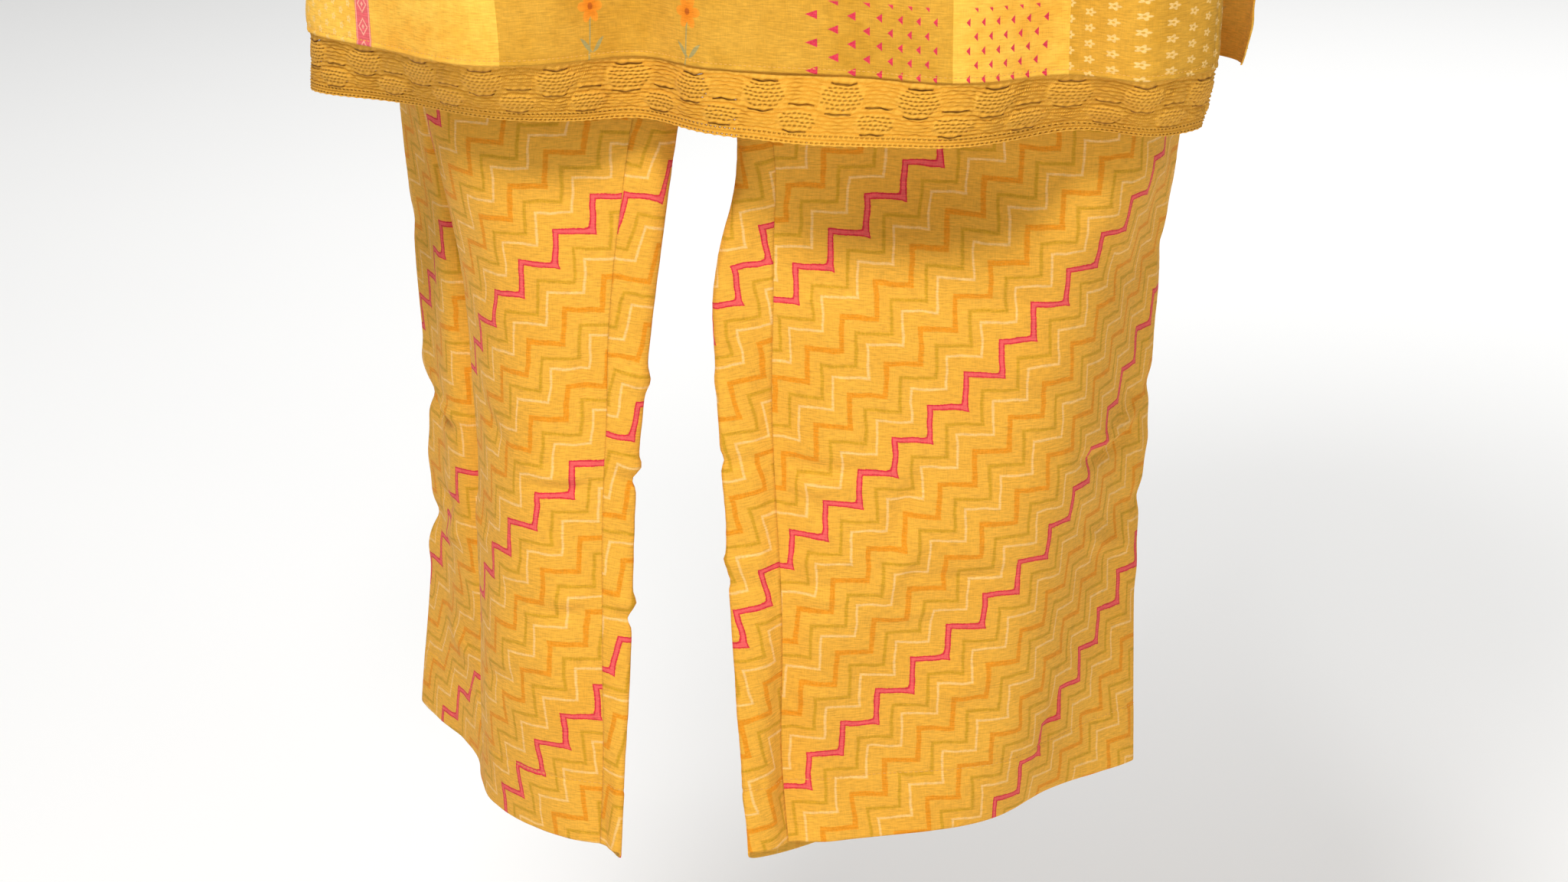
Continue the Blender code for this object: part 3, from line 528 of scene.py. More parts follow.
def cloth_place(tree):
    """The cloth's flat coordinates in millimetres, and their two parts."""
    uv = add(tree, "ShaderNodeUVMap", uv_map="cloth").outputs[0]
    inputs = {0: uv, "Scale": 1000.0}
    place = add(tree, "ShaderNodeVectorMath", inputs, operation="SCALE").outputs[0]
    parts = add(tree, "ShaderNodeSeparateXYZ", {0: place})
    return place, parts.outputs[0], parts.outputs[1]


def new_material(name):
    material = bpy.data.materials.new(name)
    material.use_nodes = True
    tree = material.node_tree
    return material, tree, tree.nodes["Principled BSDF"]


def finish_cotton(tree, shader, place, colour):
    """Plain-woven cotton: slubby crosswise threads a little under 1 mm apart, and their bump.

    The real threads are about 0.4 mm apart. They are drawn coarser, as the photo shows their slubs.
    """
    sums = Sums(tree)
    weft = sums.noise(sums.stretched(place, (0.16, 1.15, 1.0)), 1.0, 2.0)
    warp = sums.noise(sums.stretched(place, (1.5, 0.14, 1.0)), 1.0, 2.0)
    speck = sums.noise(place, 2.2, 1.0)
    threads = sums.math("ADD", sums.math("MULTIPLY", weft, 0.6), sums.math("MULTIPLY", warp, 0.25))
    threads = sums.math("ADD", threads, sums.math("MULTIPLY", speck, 0.15))
    shade = sums.math("ADD", 0.40, sums.math("MULTIPLY", threads, 1.20))
    shaded = sums.mix(1.0, colour, shade, "MULTIPLY")
    bump = add(tree, "ShaderNodeBump", {"Height": threads, "Distance": 0.28 * MM, "Strength": 0.8})
    tree.links.new(shaded, shader.inputs["Base Color"])
    tree.links.new(bump.outputs[0], shader.inputs["Normal"])
    shader.inputs["Roughness"].default_value = 0.85
    shader.inputs["Specular IOR Level"].default_value = 0.12
    shader.inputs["Sheen Weight"].default_value = 0.03
    shader.inputs["Sheen Roughness"].default_value = 0.5


def zigzag_colour(tree, place):
    """The trouser print: stair-step lines rising to the right, hand-drawn on mustard.

    With s and t in steps across and down, each line is where s + t - c equals a zigzag of s - t
    that goes 0, 1, 0 over two steps. That gives level and upright strokes in turn.
    """
    sums = Sums(tree)
    parts = add(tree, "ShaderNodeSeparateXYZ", {0: place})
    slow = add(tree, "ShaderNodeSeparateColor", {0: sums.noise(place, 0.055, 1.0, "Color")})
    quick = add(tree, "ShaderNodeSeparateColor", {0: sums.noise(place, 0.9, 2.0, "Color")})
    wander = []
    for axis in (0, 1):
        drift = sums.math("MULTIPLY_ADD", slow.outputs[axis], 3.6, -1.8)
        rough = sums.math("MULTIPLY_ADD", quick.outputs[axis], 0.9, -0.45)
        wander.append(sums.math("ADD", sums.math("ADD", parts.outputs[axis], drift), rough))
    step = STEP / MM
    total = sums.math("ADD", wander[0], wander[1])
    zigzag = sums.math("PINGPONG", sums.math("DIVIDE", sums.math("SUBTRACT", *wander), step), 1.0)
    line = sums.math("MULTIPLY_ADD", zigzag, -step, total)
    repeat = PRINT_REPEAT / MM

    def away(place_in_repeat):
        shifted = sums.math("SUBTRACT", line, place_in_repeat * repeat)
        wrapped = sums.math("WRAP", shifted, repeat / 2, -repeat / 2)
        return sums.math("MULTIPLY", sums.math("ABSOLUTE", wrapped), 0.5)

    tone = sums.noise(place, 0.02, 2.0)
    dry = sums.math("MULTIPLY_ADD", sums.noise(place, 0.8, 2.0), 1.0, 0.2, clamp=True)
    ground = sums.mix(tone, linear("DE9E34"), linear("EBAE40"))
    for row in ZIGZAG:
        stroke = dict(zip(ZIGZAG_COLUMNS, row))
        mask = sums.below(away(stroke["place"]), stroke["half_width"], stroke["softness"])
        mask = sums.math("MULTIPLY", mask, dry)
        ground = sums.mix(mask, ground, linear(stroke["colour"]))
    # The red line's lower corners swell into blobs, and its coral fill is edged with crimson.
    swell = sums.math("MULTIPLY", sums.math("SUBTRACT", zigzag, 0.86, clamp=True), 4.0)
    red = sums.math("SUBTRACT", away(0.0), swell)
    blotch = sums.noise(place, 0.7, 2.0)
    crimson = sums.mix(blotch, linear("C81C38"), linear("D92C42"))
    coral = sums.mix(blotch, linear("E04A50"), linear("EB6A60"))
    ground = sums.mix(sums.below(red, RED_HALF, 0.25), ground, crimson)
    return sums.mix(sums.below(red, RED_FILL_HALF, 0.35), ground, coral)


class Patches(Sums):
    """A brick-like layout of patches, 92 mm wide and 62 mm high, and sums on a point's place in it.

    far and low are its place in its own patch, across and down. One random number for each patch
    picks its ground and another its motif.
    """

    def __init__(self, tree, place):
        super().__init__(tree)
        m = self.math
        parts = add(tree, "ShaderNodeSeparateXYZ", {0: place})
        x, y = parts.outputs[0], m("ADD", parts.outputs[1], PATCH_HIGH - 30.0)
        level = m("FLOOR", m("DIVIDE", y, PATCH_HIGH))
        jump = m("MULTIPLY", m("FRACT", m("MULTIPLY", level, 0.381)), 137.0)
        swing = m("MULTIPLY", m("SINE", m("MULTIPLY_ADD", x, 0.031, level)), 17.0)
        slid = m("ADD", m("ADD", x, jump), swing)
        brick = m("FLOOR", m("DIVIDE", slid, PATCH_WIDE))
        self.far = m("SUBTRACT", slid, m("MULTIPLY", brick, PATCH_WIDE))
        self.low = m("SUBTRACT", y, m("MULTIPLY", level, PATCH_HIGH))
        cell = add(tree, "ShaderNodeCombineXYZ", {0: brick, 1: level, 2: 3.0}).outputs[0]
        chance = add(tree, "ShaderNodeTexWhiteNoise", {"Vector": cell}, noise_dimensions="3D")
        pick = add(tree, "ShaderNodeSeparateColor", {0: chance.outputs["Color"]})
        self.ground, self.motif = pick.outputs[0], pick.outputs[1]

    def chosen(self, value, start, stop):
        """1 where value lies between the two."""
        return self.both(self.math("GREATER_THAN", value, start), self.math("LESS_THAN", value, stop))

    def off(self, value, middle):
        return self.math("ABSOLUTE", self.math("SUBTRACT", value, middle))

    def both(self, *masks):
        product = masks[0]
        for mask in masks[1:]:
            product = self.math("MULTIPLY", product, mask)
        return product

    def radius(self, across, down):
        return self.math("SQRT", self.math("MULTIPLY_ADD", across, across, self.both(down, down)))

    def cells(self, value, half):
        """value brought between -half and half, over and over."""
        return self.math("WRAP", value, half, -half)


def dashes(patch):
    """Rows of dashes, 6 mm apart."""
    row, gap = patch.math("PINGPONG", patch.low, 3.0), patch.math("PINGPONG", patch.far, 1.5)
    return patch.both(patch.below(row, 0.55, 0.3), patch.below(gap, 0.95, 0.3))


def blossoms(patch):
    """Small blossoms of five petals round an eye, 9 mm apart in a half-drop layout."""
    m = patch.math
    drop = m("MULTIPLY", m("FLOOR", m("DIVIDE", m("ADD", patch.far, 4.5), 9.0)), 4.5)
    across, down = patch.cells(patch.far, 4.5), patch.cells(m("ADD", patch.low, drop), 4.5)
    away, angle = patch.radius(across, down), m("ARCTAN2", down, across)
    petals = m("MULTIPLY_ADD", m("COSINE", m("MULTIPLY", angle, 5.0)), 0.55, 1.9)
    bloom = patch.below(m("SUBTRACT", away, petals), 0.0, 0.3)
    return m("SUBTRACT", bloom, patch.below(away, 0.6, 0.25), clamp=True)


def triangles(patch):
    """Staggered triangles that point to the left, 13 mm apart, away from the patch's edges."""
    m = patch.math
    shift = m("MULTIPLY", m("FLOOR", m("DIVIDE", m("ADD", patch.low, 4.0), 8.0)), 6.5)
    across = patch.cells(m("ADD", patch.far, shift), 6.5)
    slope = m("MULTIPLY_ADD", m("ABSOLUTE", patch.cells(patch.low, 4.0)), 1.3, m("MULTIPLY", across, -1.0))
    triangle = patch.both(patch.below(slope, 1.9, 0.25), m("LESS_THAN", across, 1.5))
    inside = patch.below(patch.off(patch.far, 46.0), 36.0, 0.5)
    return patch.both(triangle, inside, patch.below(patch.off(patch.low, 30.0), 22.0, 0.5))


def slashes(patch):
    """A row of leaning dashes, 23 mm apart."""
    lean = patch.cells(patch.math("MULTIPLY_ADD", patch.low, 0.55, patch.far), 11.5)
    slash = patch.below(patch.math("ABSOLUTE", lean), 0.9, 0.3)
    return patch.both(slash, patch.below(patch.off(patch.low, 31.0), 8.0, 0.5))


def diamond_band(patch, ground, coral):
    """An upright coral band with a chain of paler diamonds, down one side of a patch."""
    m = patch.math
    across = patch.off(patch.far, 14.0)
    diamond = m("ADD", across, m("PINGPONG", patch.low, 6.5))
    chain = patch.below(patch.off(diamond, 4.6), 0.6, 0.3)
    rim = patch.below(patch.off(across, 6.9), 0.45, 0.25)
    heart = patch.below(diamond, 1.5, 0.3)
    banded = patch.mix(m("MAXIMUM", m("MAXIMUM", chain, rim), heart), coral, linear("F2A890"))
    band = patch.both(patch.below(across, 8.0, 0.3), patch.chosen(patch.motif, 0.68, 0.80))
    return patch.mix(band, ground, banded)


def flower(patch, ground, dry):
    """One orange flower of six petals, 20 mm wide, on a grey-green stem with two leaves."""
    m = patch.math
    x, y = m("SUBTRACT", patch.far, 52.0), m("SUBTRACT", patch.low, 19.0)
    here = patch.chosen(patch.motif, 0.76, 1.01)
    stem = patch.below(patch.off(m("MULTIPLY_ADD", y, 0.1, x), 0.0), 0.6, 0.3)
    stem = patch.both(stem, patch.chosen(y, 6.0, 34.0))
    leaf_x = m("ABSOLUTE", x)
    leaf_y = m("ADD", y, m("MULTIPLY", leaf_x, 0.9))
    leaf_wide = m("MULTIPLY", m("SINE", m("MULTIPLY", leaf_x, 0.314)), 2.0)
    leaf = patch.below(m("SUBTRACT", patch.off(leaf_y, 27.0), leaf_wide), 0.0, 0.4)
    leaf = patch.both(leaf, m("LESS_THAN", leaf_x, 10.0))
    green = patch.both(m("MAXIMUM", stem, leaf), here, m("MULTIPLY_ADD", dry, 0.4, 0.6))
    ground = patch.mix(green, ground, linear("A09660"))
    away, angle = patch.radius(x, y), m("ARCTAN2", y, x)
    lobes = m("MULTIPLY_ADD", m("ABSOLUTE", m("COSINE", m("MULTIPLY", angle, 3.0))), 4.6, 5.6)
    petal = patch.mix(m("DIVIDE", away, 10.0, clamp=True), linear("E27A14"), linear("EE962C"))
    petals = patch.below(m("SUBTRACT", away, lobes), 0.0, 0.5)
    ground = patch.mix(patch.both(petals, here), ground, petal)
    return patch.mix(patch.both(patch.below(away, 2.0, 0.6), here), ground, linear("B85C18"))


def patchwork_colour(tree, place):
    """The kameez's print: a generic patchwork on mustard, each patch with one ordinary small motif."""
    patch = Patches(tree, place)
    m = patch.math
    # Watercolour blotches in the ground, large and small.
    large, small = patch.noise(place, 0.018, 3.0), patch.noise(place, 0.11, 2.0)
    wash = m("ADD", m("MULTIPLY", large, 0.65), m("MULTIPLY", small, 0.35))
    wash = add(tree, "ShaderNodeMapRange", {0: wash, 1: 0.38, 2: 0.62, 3: 0.0, 4: 1.0}).outputs[0]
    ground = patch.mix(wash, linear("EAA83A"), linear("F7C04E"))
    olive = patch.mix(wash, linear("C68F2A"), linear("D69F38"))
    gold = patch.mix(wash, linear("DE9C32"), linear("EAAA42"))
    for colour, start, stop in ((olive, 0.0, 0.26), (gold, 0.26, 0.44)):
        ground = patch.mix(patch.chosen(patch.ground, start, stop), ground, colour)
    dry = m("MULTIPLY_ADD", patch.noise(place, 1.1, 2.0), 0.9, 0.35, clamp=True)
    pale = linear("EFC67C")
    crimson = patch.mix(dry, linear("E2646C"), linear("CC2642"))
    coral = patch.mix(dry, linear("E9847A"), linear("DE5A60"))
    for mask, start, stop, colour in (
        (patch.both(dashes(patch), dry), 0.0, 0.24, pale),
        (patch.both(blossoms(patch), dry), 0.24, 0.46, pale),
        (triangles(patch), 0.46, 0.60, crimson),
        (slashes(patch), 0.60, 0.68, crimson),
    ):
        ground = patch.mix(patch.both(mask, patch.chosen(patch.motif, start, stop)), ground, colour)
    return flower(patch, diamond_band(patch, ground, coral), dry)


def printed_cotton(name, print_colour):
    """The printed face of plain-weave cotton: matte, with slubs that catch the light."""
    material, tree, shader = new_material(name)
    place = cloth_place(tree)[0]
    finish_cotton(tree, shader, place, print_colour(tree, place))
    return material


def reverse_cotton(name, print_colour):
    """The wrong side of the same cotton, where the print shows through faintly."""
    material, tree, shader = new_material(name)
    place = cloth_place(tree)[0]
    faded = Sums(tree).mix(0.62, print_colour(tree, place), linear("E0AC45"))
    finish_cotton(tree, shader, place, faded)
    return material


def crochet_cotton():
    """Mercerised cotton yarn, crocheted: rounded strands with a slight gloss and a twist.

    The attribute "crest" holds painted light and shade: 1 on a strand's crest, painted light, and 0
    deep between two strands and beside holes, painted shade down to black in a slit. The shade is
    painted darker than the light alone would make it, as the modelled strands are coarse.
    """
    material, tree, shader = new_material("mustard crochet cotton")
    place, across, down = cloth_place(tree)
    sums = Sums(tree)
    # The yarn's painted light and shade, kept on the mesh.
    crest = add(tree, "ShaderNodeAttribute", attribute_name="crest").outputs["Fac"]
    twist = sums.math("SINE", sums.math("MULTIPLY", sums.math("ADD", across, down), 5.2))
    fuzz = sums.noise(place, 1.6, 3.0)
    tone = sums.noise(place, 0.12, 2.0)
    height = sums.math("ADD", sums.math("MULTIPLY", twist, 0.35), fuzz)
    # Painted light and shade: a dark brown painted shade in the grooves, mid mustard, and a paler painted
    # light on the crests and knobs.
    light = sums.mix(tone, linear("F4AE3A"), linear("FDC350"))
    groove = sums.math("MULTIPLY", crest, 3.2, clamp=True)
    colour = sums.mix(groove, linear("7C4708"), linear("DA982A"))
    colour = sums.mix(sums.math("MULTIPLY_ADD", crest, 1.35, -0.35, clamp=True), colour, light)
    shade = sums.math("MULTIPLY_ADD", fuzz, 0.5, 0.75)
    bump = add(tree, "ShaderNodeBump", {"Height": height, "Distance": 0.3 * MM, "Strength": 0.9})
    tree.links.new(sums.mix(1.0, colour, shade, "MULTIPLY"), shader.inputs["Base Color"])
    tree.links.new(bump.outputs[0], shader.inputs["Normal"])
    shader.inputs["Roughness"].default_value = 0.75
    shader.inputs["Specular IOR Level"].default_value = 0.15
    shader.inputs["Sheen Weight"].default_value = 0.05
    return material


def thread():
    """Polyester sewing thread: fine, tight and slightly glossy."""
    material, tree, shader = new_material("mustard sewing thread")
    place = add(tree, "ShaderNodeTexCoord").outputs["Object"]
    tone = Sums(tree).noise(place, 900.0, 1.0)
    colour = Sums(tree).mix(tone, linear("D89F3C"), linear("E4B050"))
    tree.links.new(colour, shader.inputs["Base Color"])
    shader.inputs["Roughness"].default_value = 0.5
    return material


def stretches(*parts):
    """Numbers that run through each (start, stop, step) in turn, each stretch evenly divided."""
    runs = [np.array([parts[0][0]])]
    for start, stop, step in parts:
        count = max(1, int(round(abs(stop - start) / step)))
        runs.append(np.linspace(start, stop, count + 1)[1:])
    return np.concatenate(runs)


def creased(table, place):
    """How far creases push the cloth out: for each, a bell across a line and a fade at its ends.

    place is the cloth's flat coordinates in metres. A row gives a crease's two ends, how far out
    its middle lies (in, if negative) and its half width, all in millimetres.
    """
    out = np.zeros(place.shape[:-1])
    for x0, y0, x1, y1, height, half_width in table:
        start = np.array([x0, y0]) * MM
        way = np.array([x1, y1]) * MM - start
        long = np.linalg.norm(way)
        way = way / long
        along = (place - start) @ way
        across = (place - start) @ np.array([-way[1], way[0]])
        share = np.clip(along / long, 0, 1)
        ends = np.sin(np.pi * share) ** 0.8 * (along > 0) * (along < long)
        bow = 0.06 * long * np.sin(np.pi * share)
        out += height * MM * ends * bell(across - bow, half_width * MM)
    return out


def waves(place, size, seed):
    """Soft uneven waves between about -1 and 1: four sines at odd angles, size apart in metres."""
    turn = np.array([0.3, 1.4, 2.3, 4.1]) + seed
    long = size * np.array([1.0, 0.71, 1.33, 0.58])
    x, y = place[..., 0:1], place[..., 1:2]
    phase = 2 * np.pi * (x * np.cos(turn) + y * np.sin(turn)) / long + 5.0 * turn
    return np.sin(phase).sum(-1) / 2.6


def wavy(place, out_and_size, seed):
    """The same waves, as far out as the first number says."""
    return out_and_size[0] * waves(place, out_and_size[1], seed)


def hem_relief(up, depth, place):
    """A doubled hem: a small step out below its stitches, which pull a groove with tiny puckers."""
    step = HEM_STEP * smooth_step((depth + 0.8 * MM - up) / (1.6 * MM))
    groove = STITCH_GROOVE * bell(up - depth, STITCH_GROOVE_HALF)
    puckers = PUCKER_OUT * waves(place * np.array([1.0, 0.25]), PUCKER_LONG, depth * 40)
    puckers = puckers * bell(up - depth + 3 * MM, PUCKER_REACH)
    return step - groove + puckers - FOLD_ROUND * bell(up, FOLD_ROUND_HALF)


# The trousers' creases, for each leg's hand and panel's side, in the panel's flat coordinates: both
# ends, how far out and half width, in millimetres. Similar ones lie where the photo shows nothing.
LEG_CREASES = {
    (1, -1): (
        (-75, 1193, -18, 1192, 2.0, 3.5), (-75, 1206, -28, 1212, -2.4, 5), (-18, 1199, 90, 1203, -1.8, 2.5),
        (24, 1128, -5, 1190, -3.2, 6), (16, 1178, -9, 1232, 3.1, 6), (-73, 1132, -8, 1137, -2.9, 5),
        (-68, 1148, -25, 1144, 2.9, 5), (-52, 1155, -36, 1176, -2.0, 5), (112, 1142, 210, 1147, -3.7, 5),
        (142, 1139, 213, 1133, 3.7, 5), (22, 1029, 90, 1032, -2.0, 6), (-75, 1223, -25, 1226, -2.0, 4.5),
        (-22, 1229, 36, 1227, 1.5, 4), (140, 1200, 212, 1226, 2.5, 6), (140, 1298, 105, 1356, -2.5, 8),
        (-70, 1275, -20, 1285, 2.0, 6), (10, 1290, 70, 1275, 2.0, 8), (40, 1060, 100, 1085, 2.4, 9),
        (60, 760, 120, 860, 3.1, 14), (-10, 620, 60, 700, -2.7, 12), (20, 880, 120, 905, 2.6, 8),
    ),
    (-1, -1): (
        (-210, 1140, -128, 1152, 3.4, 4), (-214, 1150, -140, 1162, -3.2, 4),
        (-216, 1220, -148, 1212, -3.4, 6), (-214, 1246, -142, 1228, 2.9, 6),
        (28, 1144, 85, 1141, 2.4, 4), (32, 1152, 88, 1149, -2.6, 4),
        (42, 1229, 82, 1231, -2.4, 4), (52, 1221, 82, 1220, 2.4, 4), (62, 1068, 73, 1100, -2.9, 6),
        (12, 1218, 46, 1199, 2.0, 6), (-60, 1190, 5, 1205, 2.2, 8), (-20, 1290, 50, 1270, -2.2, 7),
        (-30, 1060, 30, 1045, 2.0, 8), (-190, 1300, -120, 1320, 2.6, 7), (-30, 1110, 15, 1135, -2.4, 7),
        (-120, 780, -40, 860, 3.1, 13), (0, 640, 60, 720, -2.7, 12), (-90, 900, 0, 925, 2.6, 8),
    ),
    (1, 1): (
        (-50, 1130, 0, 1133, -2.4, 4), (-45, 1193, 0, 1194, 2.2, 3.5), (-42, 1206, 0, 1211, -2.4, 4),
        (-200, 1000, -120, 1060, 3.4, 10), (-260, 1150, -170, 1110, -3.1, 9),
        (-120, 1220, -50, 1190, 2.9, 8), (-230, 1270, -150, 1300, 2.5, 8),
        (-90, 1050, -30, 1090, 2.6, 7), (-180, 820, -80, 900, -3.1, 13),
        (-120, 560, -60, 660, 2.9, 12), (-210, 700, -130, 760, 2.9, 12),
    ),
    (-1, 1): (
        (0, 1134, 45, 1139, 2.4, 4), (0, 1144, 42, 1148, -2.9, 4), (0, 1219, 38, 1222, 2.4, 4),
        (0, 1229, 40, 1233, -2.9, 4), (0, 1080, 40, 1088, 2.9, 6),
        (110, 1020, 190, 1070, 3.2, 10), (60, 1145, 150, 1120, -2.9, 9),
        (180, 1180, 260, 1230, 2.5, 8), (90, 1280, 170, 1260, 2.6, 8),
        (80, 800, 170, 880, 3.1, 13), (70, 580, 130, 670, -2.7, 12), (130, 720, 220, 770, 2.9, 12),
    ),
}
# Where each leg's outer crease is pinched in (out, if negative): height in metres, then how far and
# over what half height, both in millimetres.
PINCHES = {
    1: ((-1.030, 1.5, 9), (-1.123, 2.2, 8), (-1.160, -1.2, 9), (-1.198, 2.4, 8), (-1.245, -1.2, 12)),
    -1: (
        (-1.133, -2.0, 9), (-1.156, 5.0, 9), (-1.200, -2.0, 14), (-1.242, 5.0, 9), (-1.266, -2.0, 10),
        (-1.040, 1.6, 10),
    ),
}
KAMEEZ_CREASES = {
    -1: (
        (-215, 800, -150, 850, 1.2, 8), (-120, 770, -90, 870, -0.9, 8), (-20, 790, 30, 860, 1.0, 8),
        (60, 800, 120, 850, -0.9, 7), (150, 780, 190, 870, 1.1, 9), (215, 790, 240, 860, -0.8, 7),
        (-200, 640, -120, 700, 1.3, 12), (60, 600, 170, 650, -1.2, 12), (-90, 690, 20, 720, 0.9, 10),
        (-160, 470, -60, 430, 1.6, 12), (40, 440, 160, 480, 1.5, 12), (-140, 380, -40, 410, -1.3, 10),
        (50, 400, 150, 360, 1.2, 11), (-150, 300, -80, 240, 1.6, 11), (90, 240, 155, 300, 1.5, 11),
        (-60, 560, 50, 575, 1.0, 11),
    ),
    1: (
        (-210, 820, -130, 870, 1.1, 9), (-70, 780, 0, 860, -1.0, 9), (60, 800, 150, 850, 1.1, 9),
        (-180, 650, -90, 700, 1.3, 12), (40, 620, 150, 670, -1.2, 12), (-40, 560, 60, 540, 0.9, 11),
        (-150, 460, -50, 430, 1.7, 12), (50, 420, 160, 470, 1.6, 12), (-120, 370, 0, 390, -1.2, 10),
        (-150, 260, -70, 210, 1.6, 12), (60, 220, 150, 280, 1.5, 12), (-60, 300, 50, 320, 1.0, 12),
    ),
}
SLEEVE_CREASES = (
    (60, 110, 150, 150, 1.6, 9), (200, 130, 290, 170, -1.4, 9), (90, 190, 190, 215, 1.3, 8),
    (230, 220, 310, 190, 1.2, 8), (40, 260, 120, 240, -1.0, 7), (160, 290, 250, 270, 1.0, 8),
)

# Where each trouser panel was cut from the print: how far its grain leans in degrees, where a red
# line falls, the height of a step, and the zigzag's phase, which drifts as the cloth was pulled.
PRINT_COLUMNS = ("lean", "line_at", "step", "phase", "drift", "drift_from")
PANEL_PRINT = {
    (1, -1): (0.0, 0.9565, 0.0204, 0.9725, -1.968, 1.1965),
    (-1, -1): (0.0, 0.8809, 0.02115, 1.091, 2.296, 1.1209),
    (1, 1): (11.0, 0.7759, 0.0210, 0.43, 0.0, 0.0),
    (-1, 1): (-10.0, 1.1308, 0.0210, 0.5, 0.0, 0.0),
}


def print_place(flat, panel):
    """The panel's flat coordinates moved into the print's own.

    The grain's lean turns them. Then their sum is slid until a red line falls where it should, and
    their difference is slid and stretched until the steps do.
    """
    cut = dict(zip(PRINT_COLUMNS, PANEL_PRINT[panel]))
    lean = np.radians(cut["lean"])
    x = flat[..., 0] * np.cos(lean) - flat[..., 1] * np.sin(lean)
    y = flat[..., 0] * np.sin(lean) + flat[..., 1] * np.cos(lean)
    total = x + y
    phase = cut["phase"] + cut["drift"] * (total - cut["drift_from"])
    apart = STEP * ((x - y) / cut["step"] - phase)
    total = total - cut["line_at"]
    return np.stack([(total + apart) / 2, (total - apart) / 2], -1)


def seam_dip(far):
    """How far the outer face dips at a distance far from a seam: a bell of that distance."""
    return SEAM_DITCH * bell(far, SEAM_DITCH_HALF)


def calm(far):
    """How much of the cloth's waves and creases is left at a distance far from a seam, 0 at it."""
    return 1 - bell(far, SEAM_CALM)


def trouser_points(hand, side, low, above):
    """A panel's surface: the leg section at each height of low, then the hip section above it.

    Columns crowd at both seams. Also gives each point's share of the way to the outer crease.
    """
    t = np.linspace(0, 1, 116 if side < 0 else 100)
    across = (t - SEAM_CROWDING * np.sin(2 * np.pi * t) / (2 * np.pi))[None, :]
    rows, folds = (LEFT_LEG, LEFT_LEG_FOLDS) if hand > 0 else (RIGHT_LEG, RIGHT_LEG_FOLDS)
    named = np.array(LEG_FRONT_TURNS if side < 0 else LEG_BACK_TURNS, float)
    close = np.interp(across, np.linspace(0, 1, named.size), named)
    lowness = column(LEG_COLUMNS, rows, "inseam", low) / SEAM_TURN
    turn = np.radians(-180 * side * across * (1 - lowness) + close * lowness)
    leg = leg_section(rows, folds, turn, low + 0 * across)
    behind = np.clip(-turn / np.pi, 0, 1)
    sag = BACK_HEM_SAG * np.sin(np.pi * behind**0.6)
    leg[..., 2] -= sag * np.clip(1 - (low - TROUSER_HEM) / SAG_REACH, 0, 1)
    share = (1 - np.cos(turn)) / 2
    for height, far, half_high in PINCHES[hand]:
        leg[..., 0] -= hand * far * MM * share**8 * bell(low - height, half_high * MM)
    top = hip_section(hand, side, across + 0 * above, above + 0 * across)
    top_share = np.abs(top[..., 0]) / HIPS[0][1]
    return np.concatenate([leg, top]), np.concatenate([share, top_share])


def share_normals(front, back, crotch):
    """Gives a front and a back panel one normal along their seams.

    It points straight down at the crotch, and has no sideways part along the middle above it.
    """
    front[:, -1] = back[:, -1] = unit(front[:, -1] + back[:, -1])
    front[:crotch, 0] = back[:crotch, 0] = unit(front[:crotch, 0] + back[:crotch, 0])
    front[crotch, 0] = back[crotch, 0] = (0.0, 0.0, -1.0)
    for face in (front, back):
        face[crotch + 1 :, 0] = unit(face[crotch + 1 :, 0] * np.array([0.0, 1.0, 1.0]))


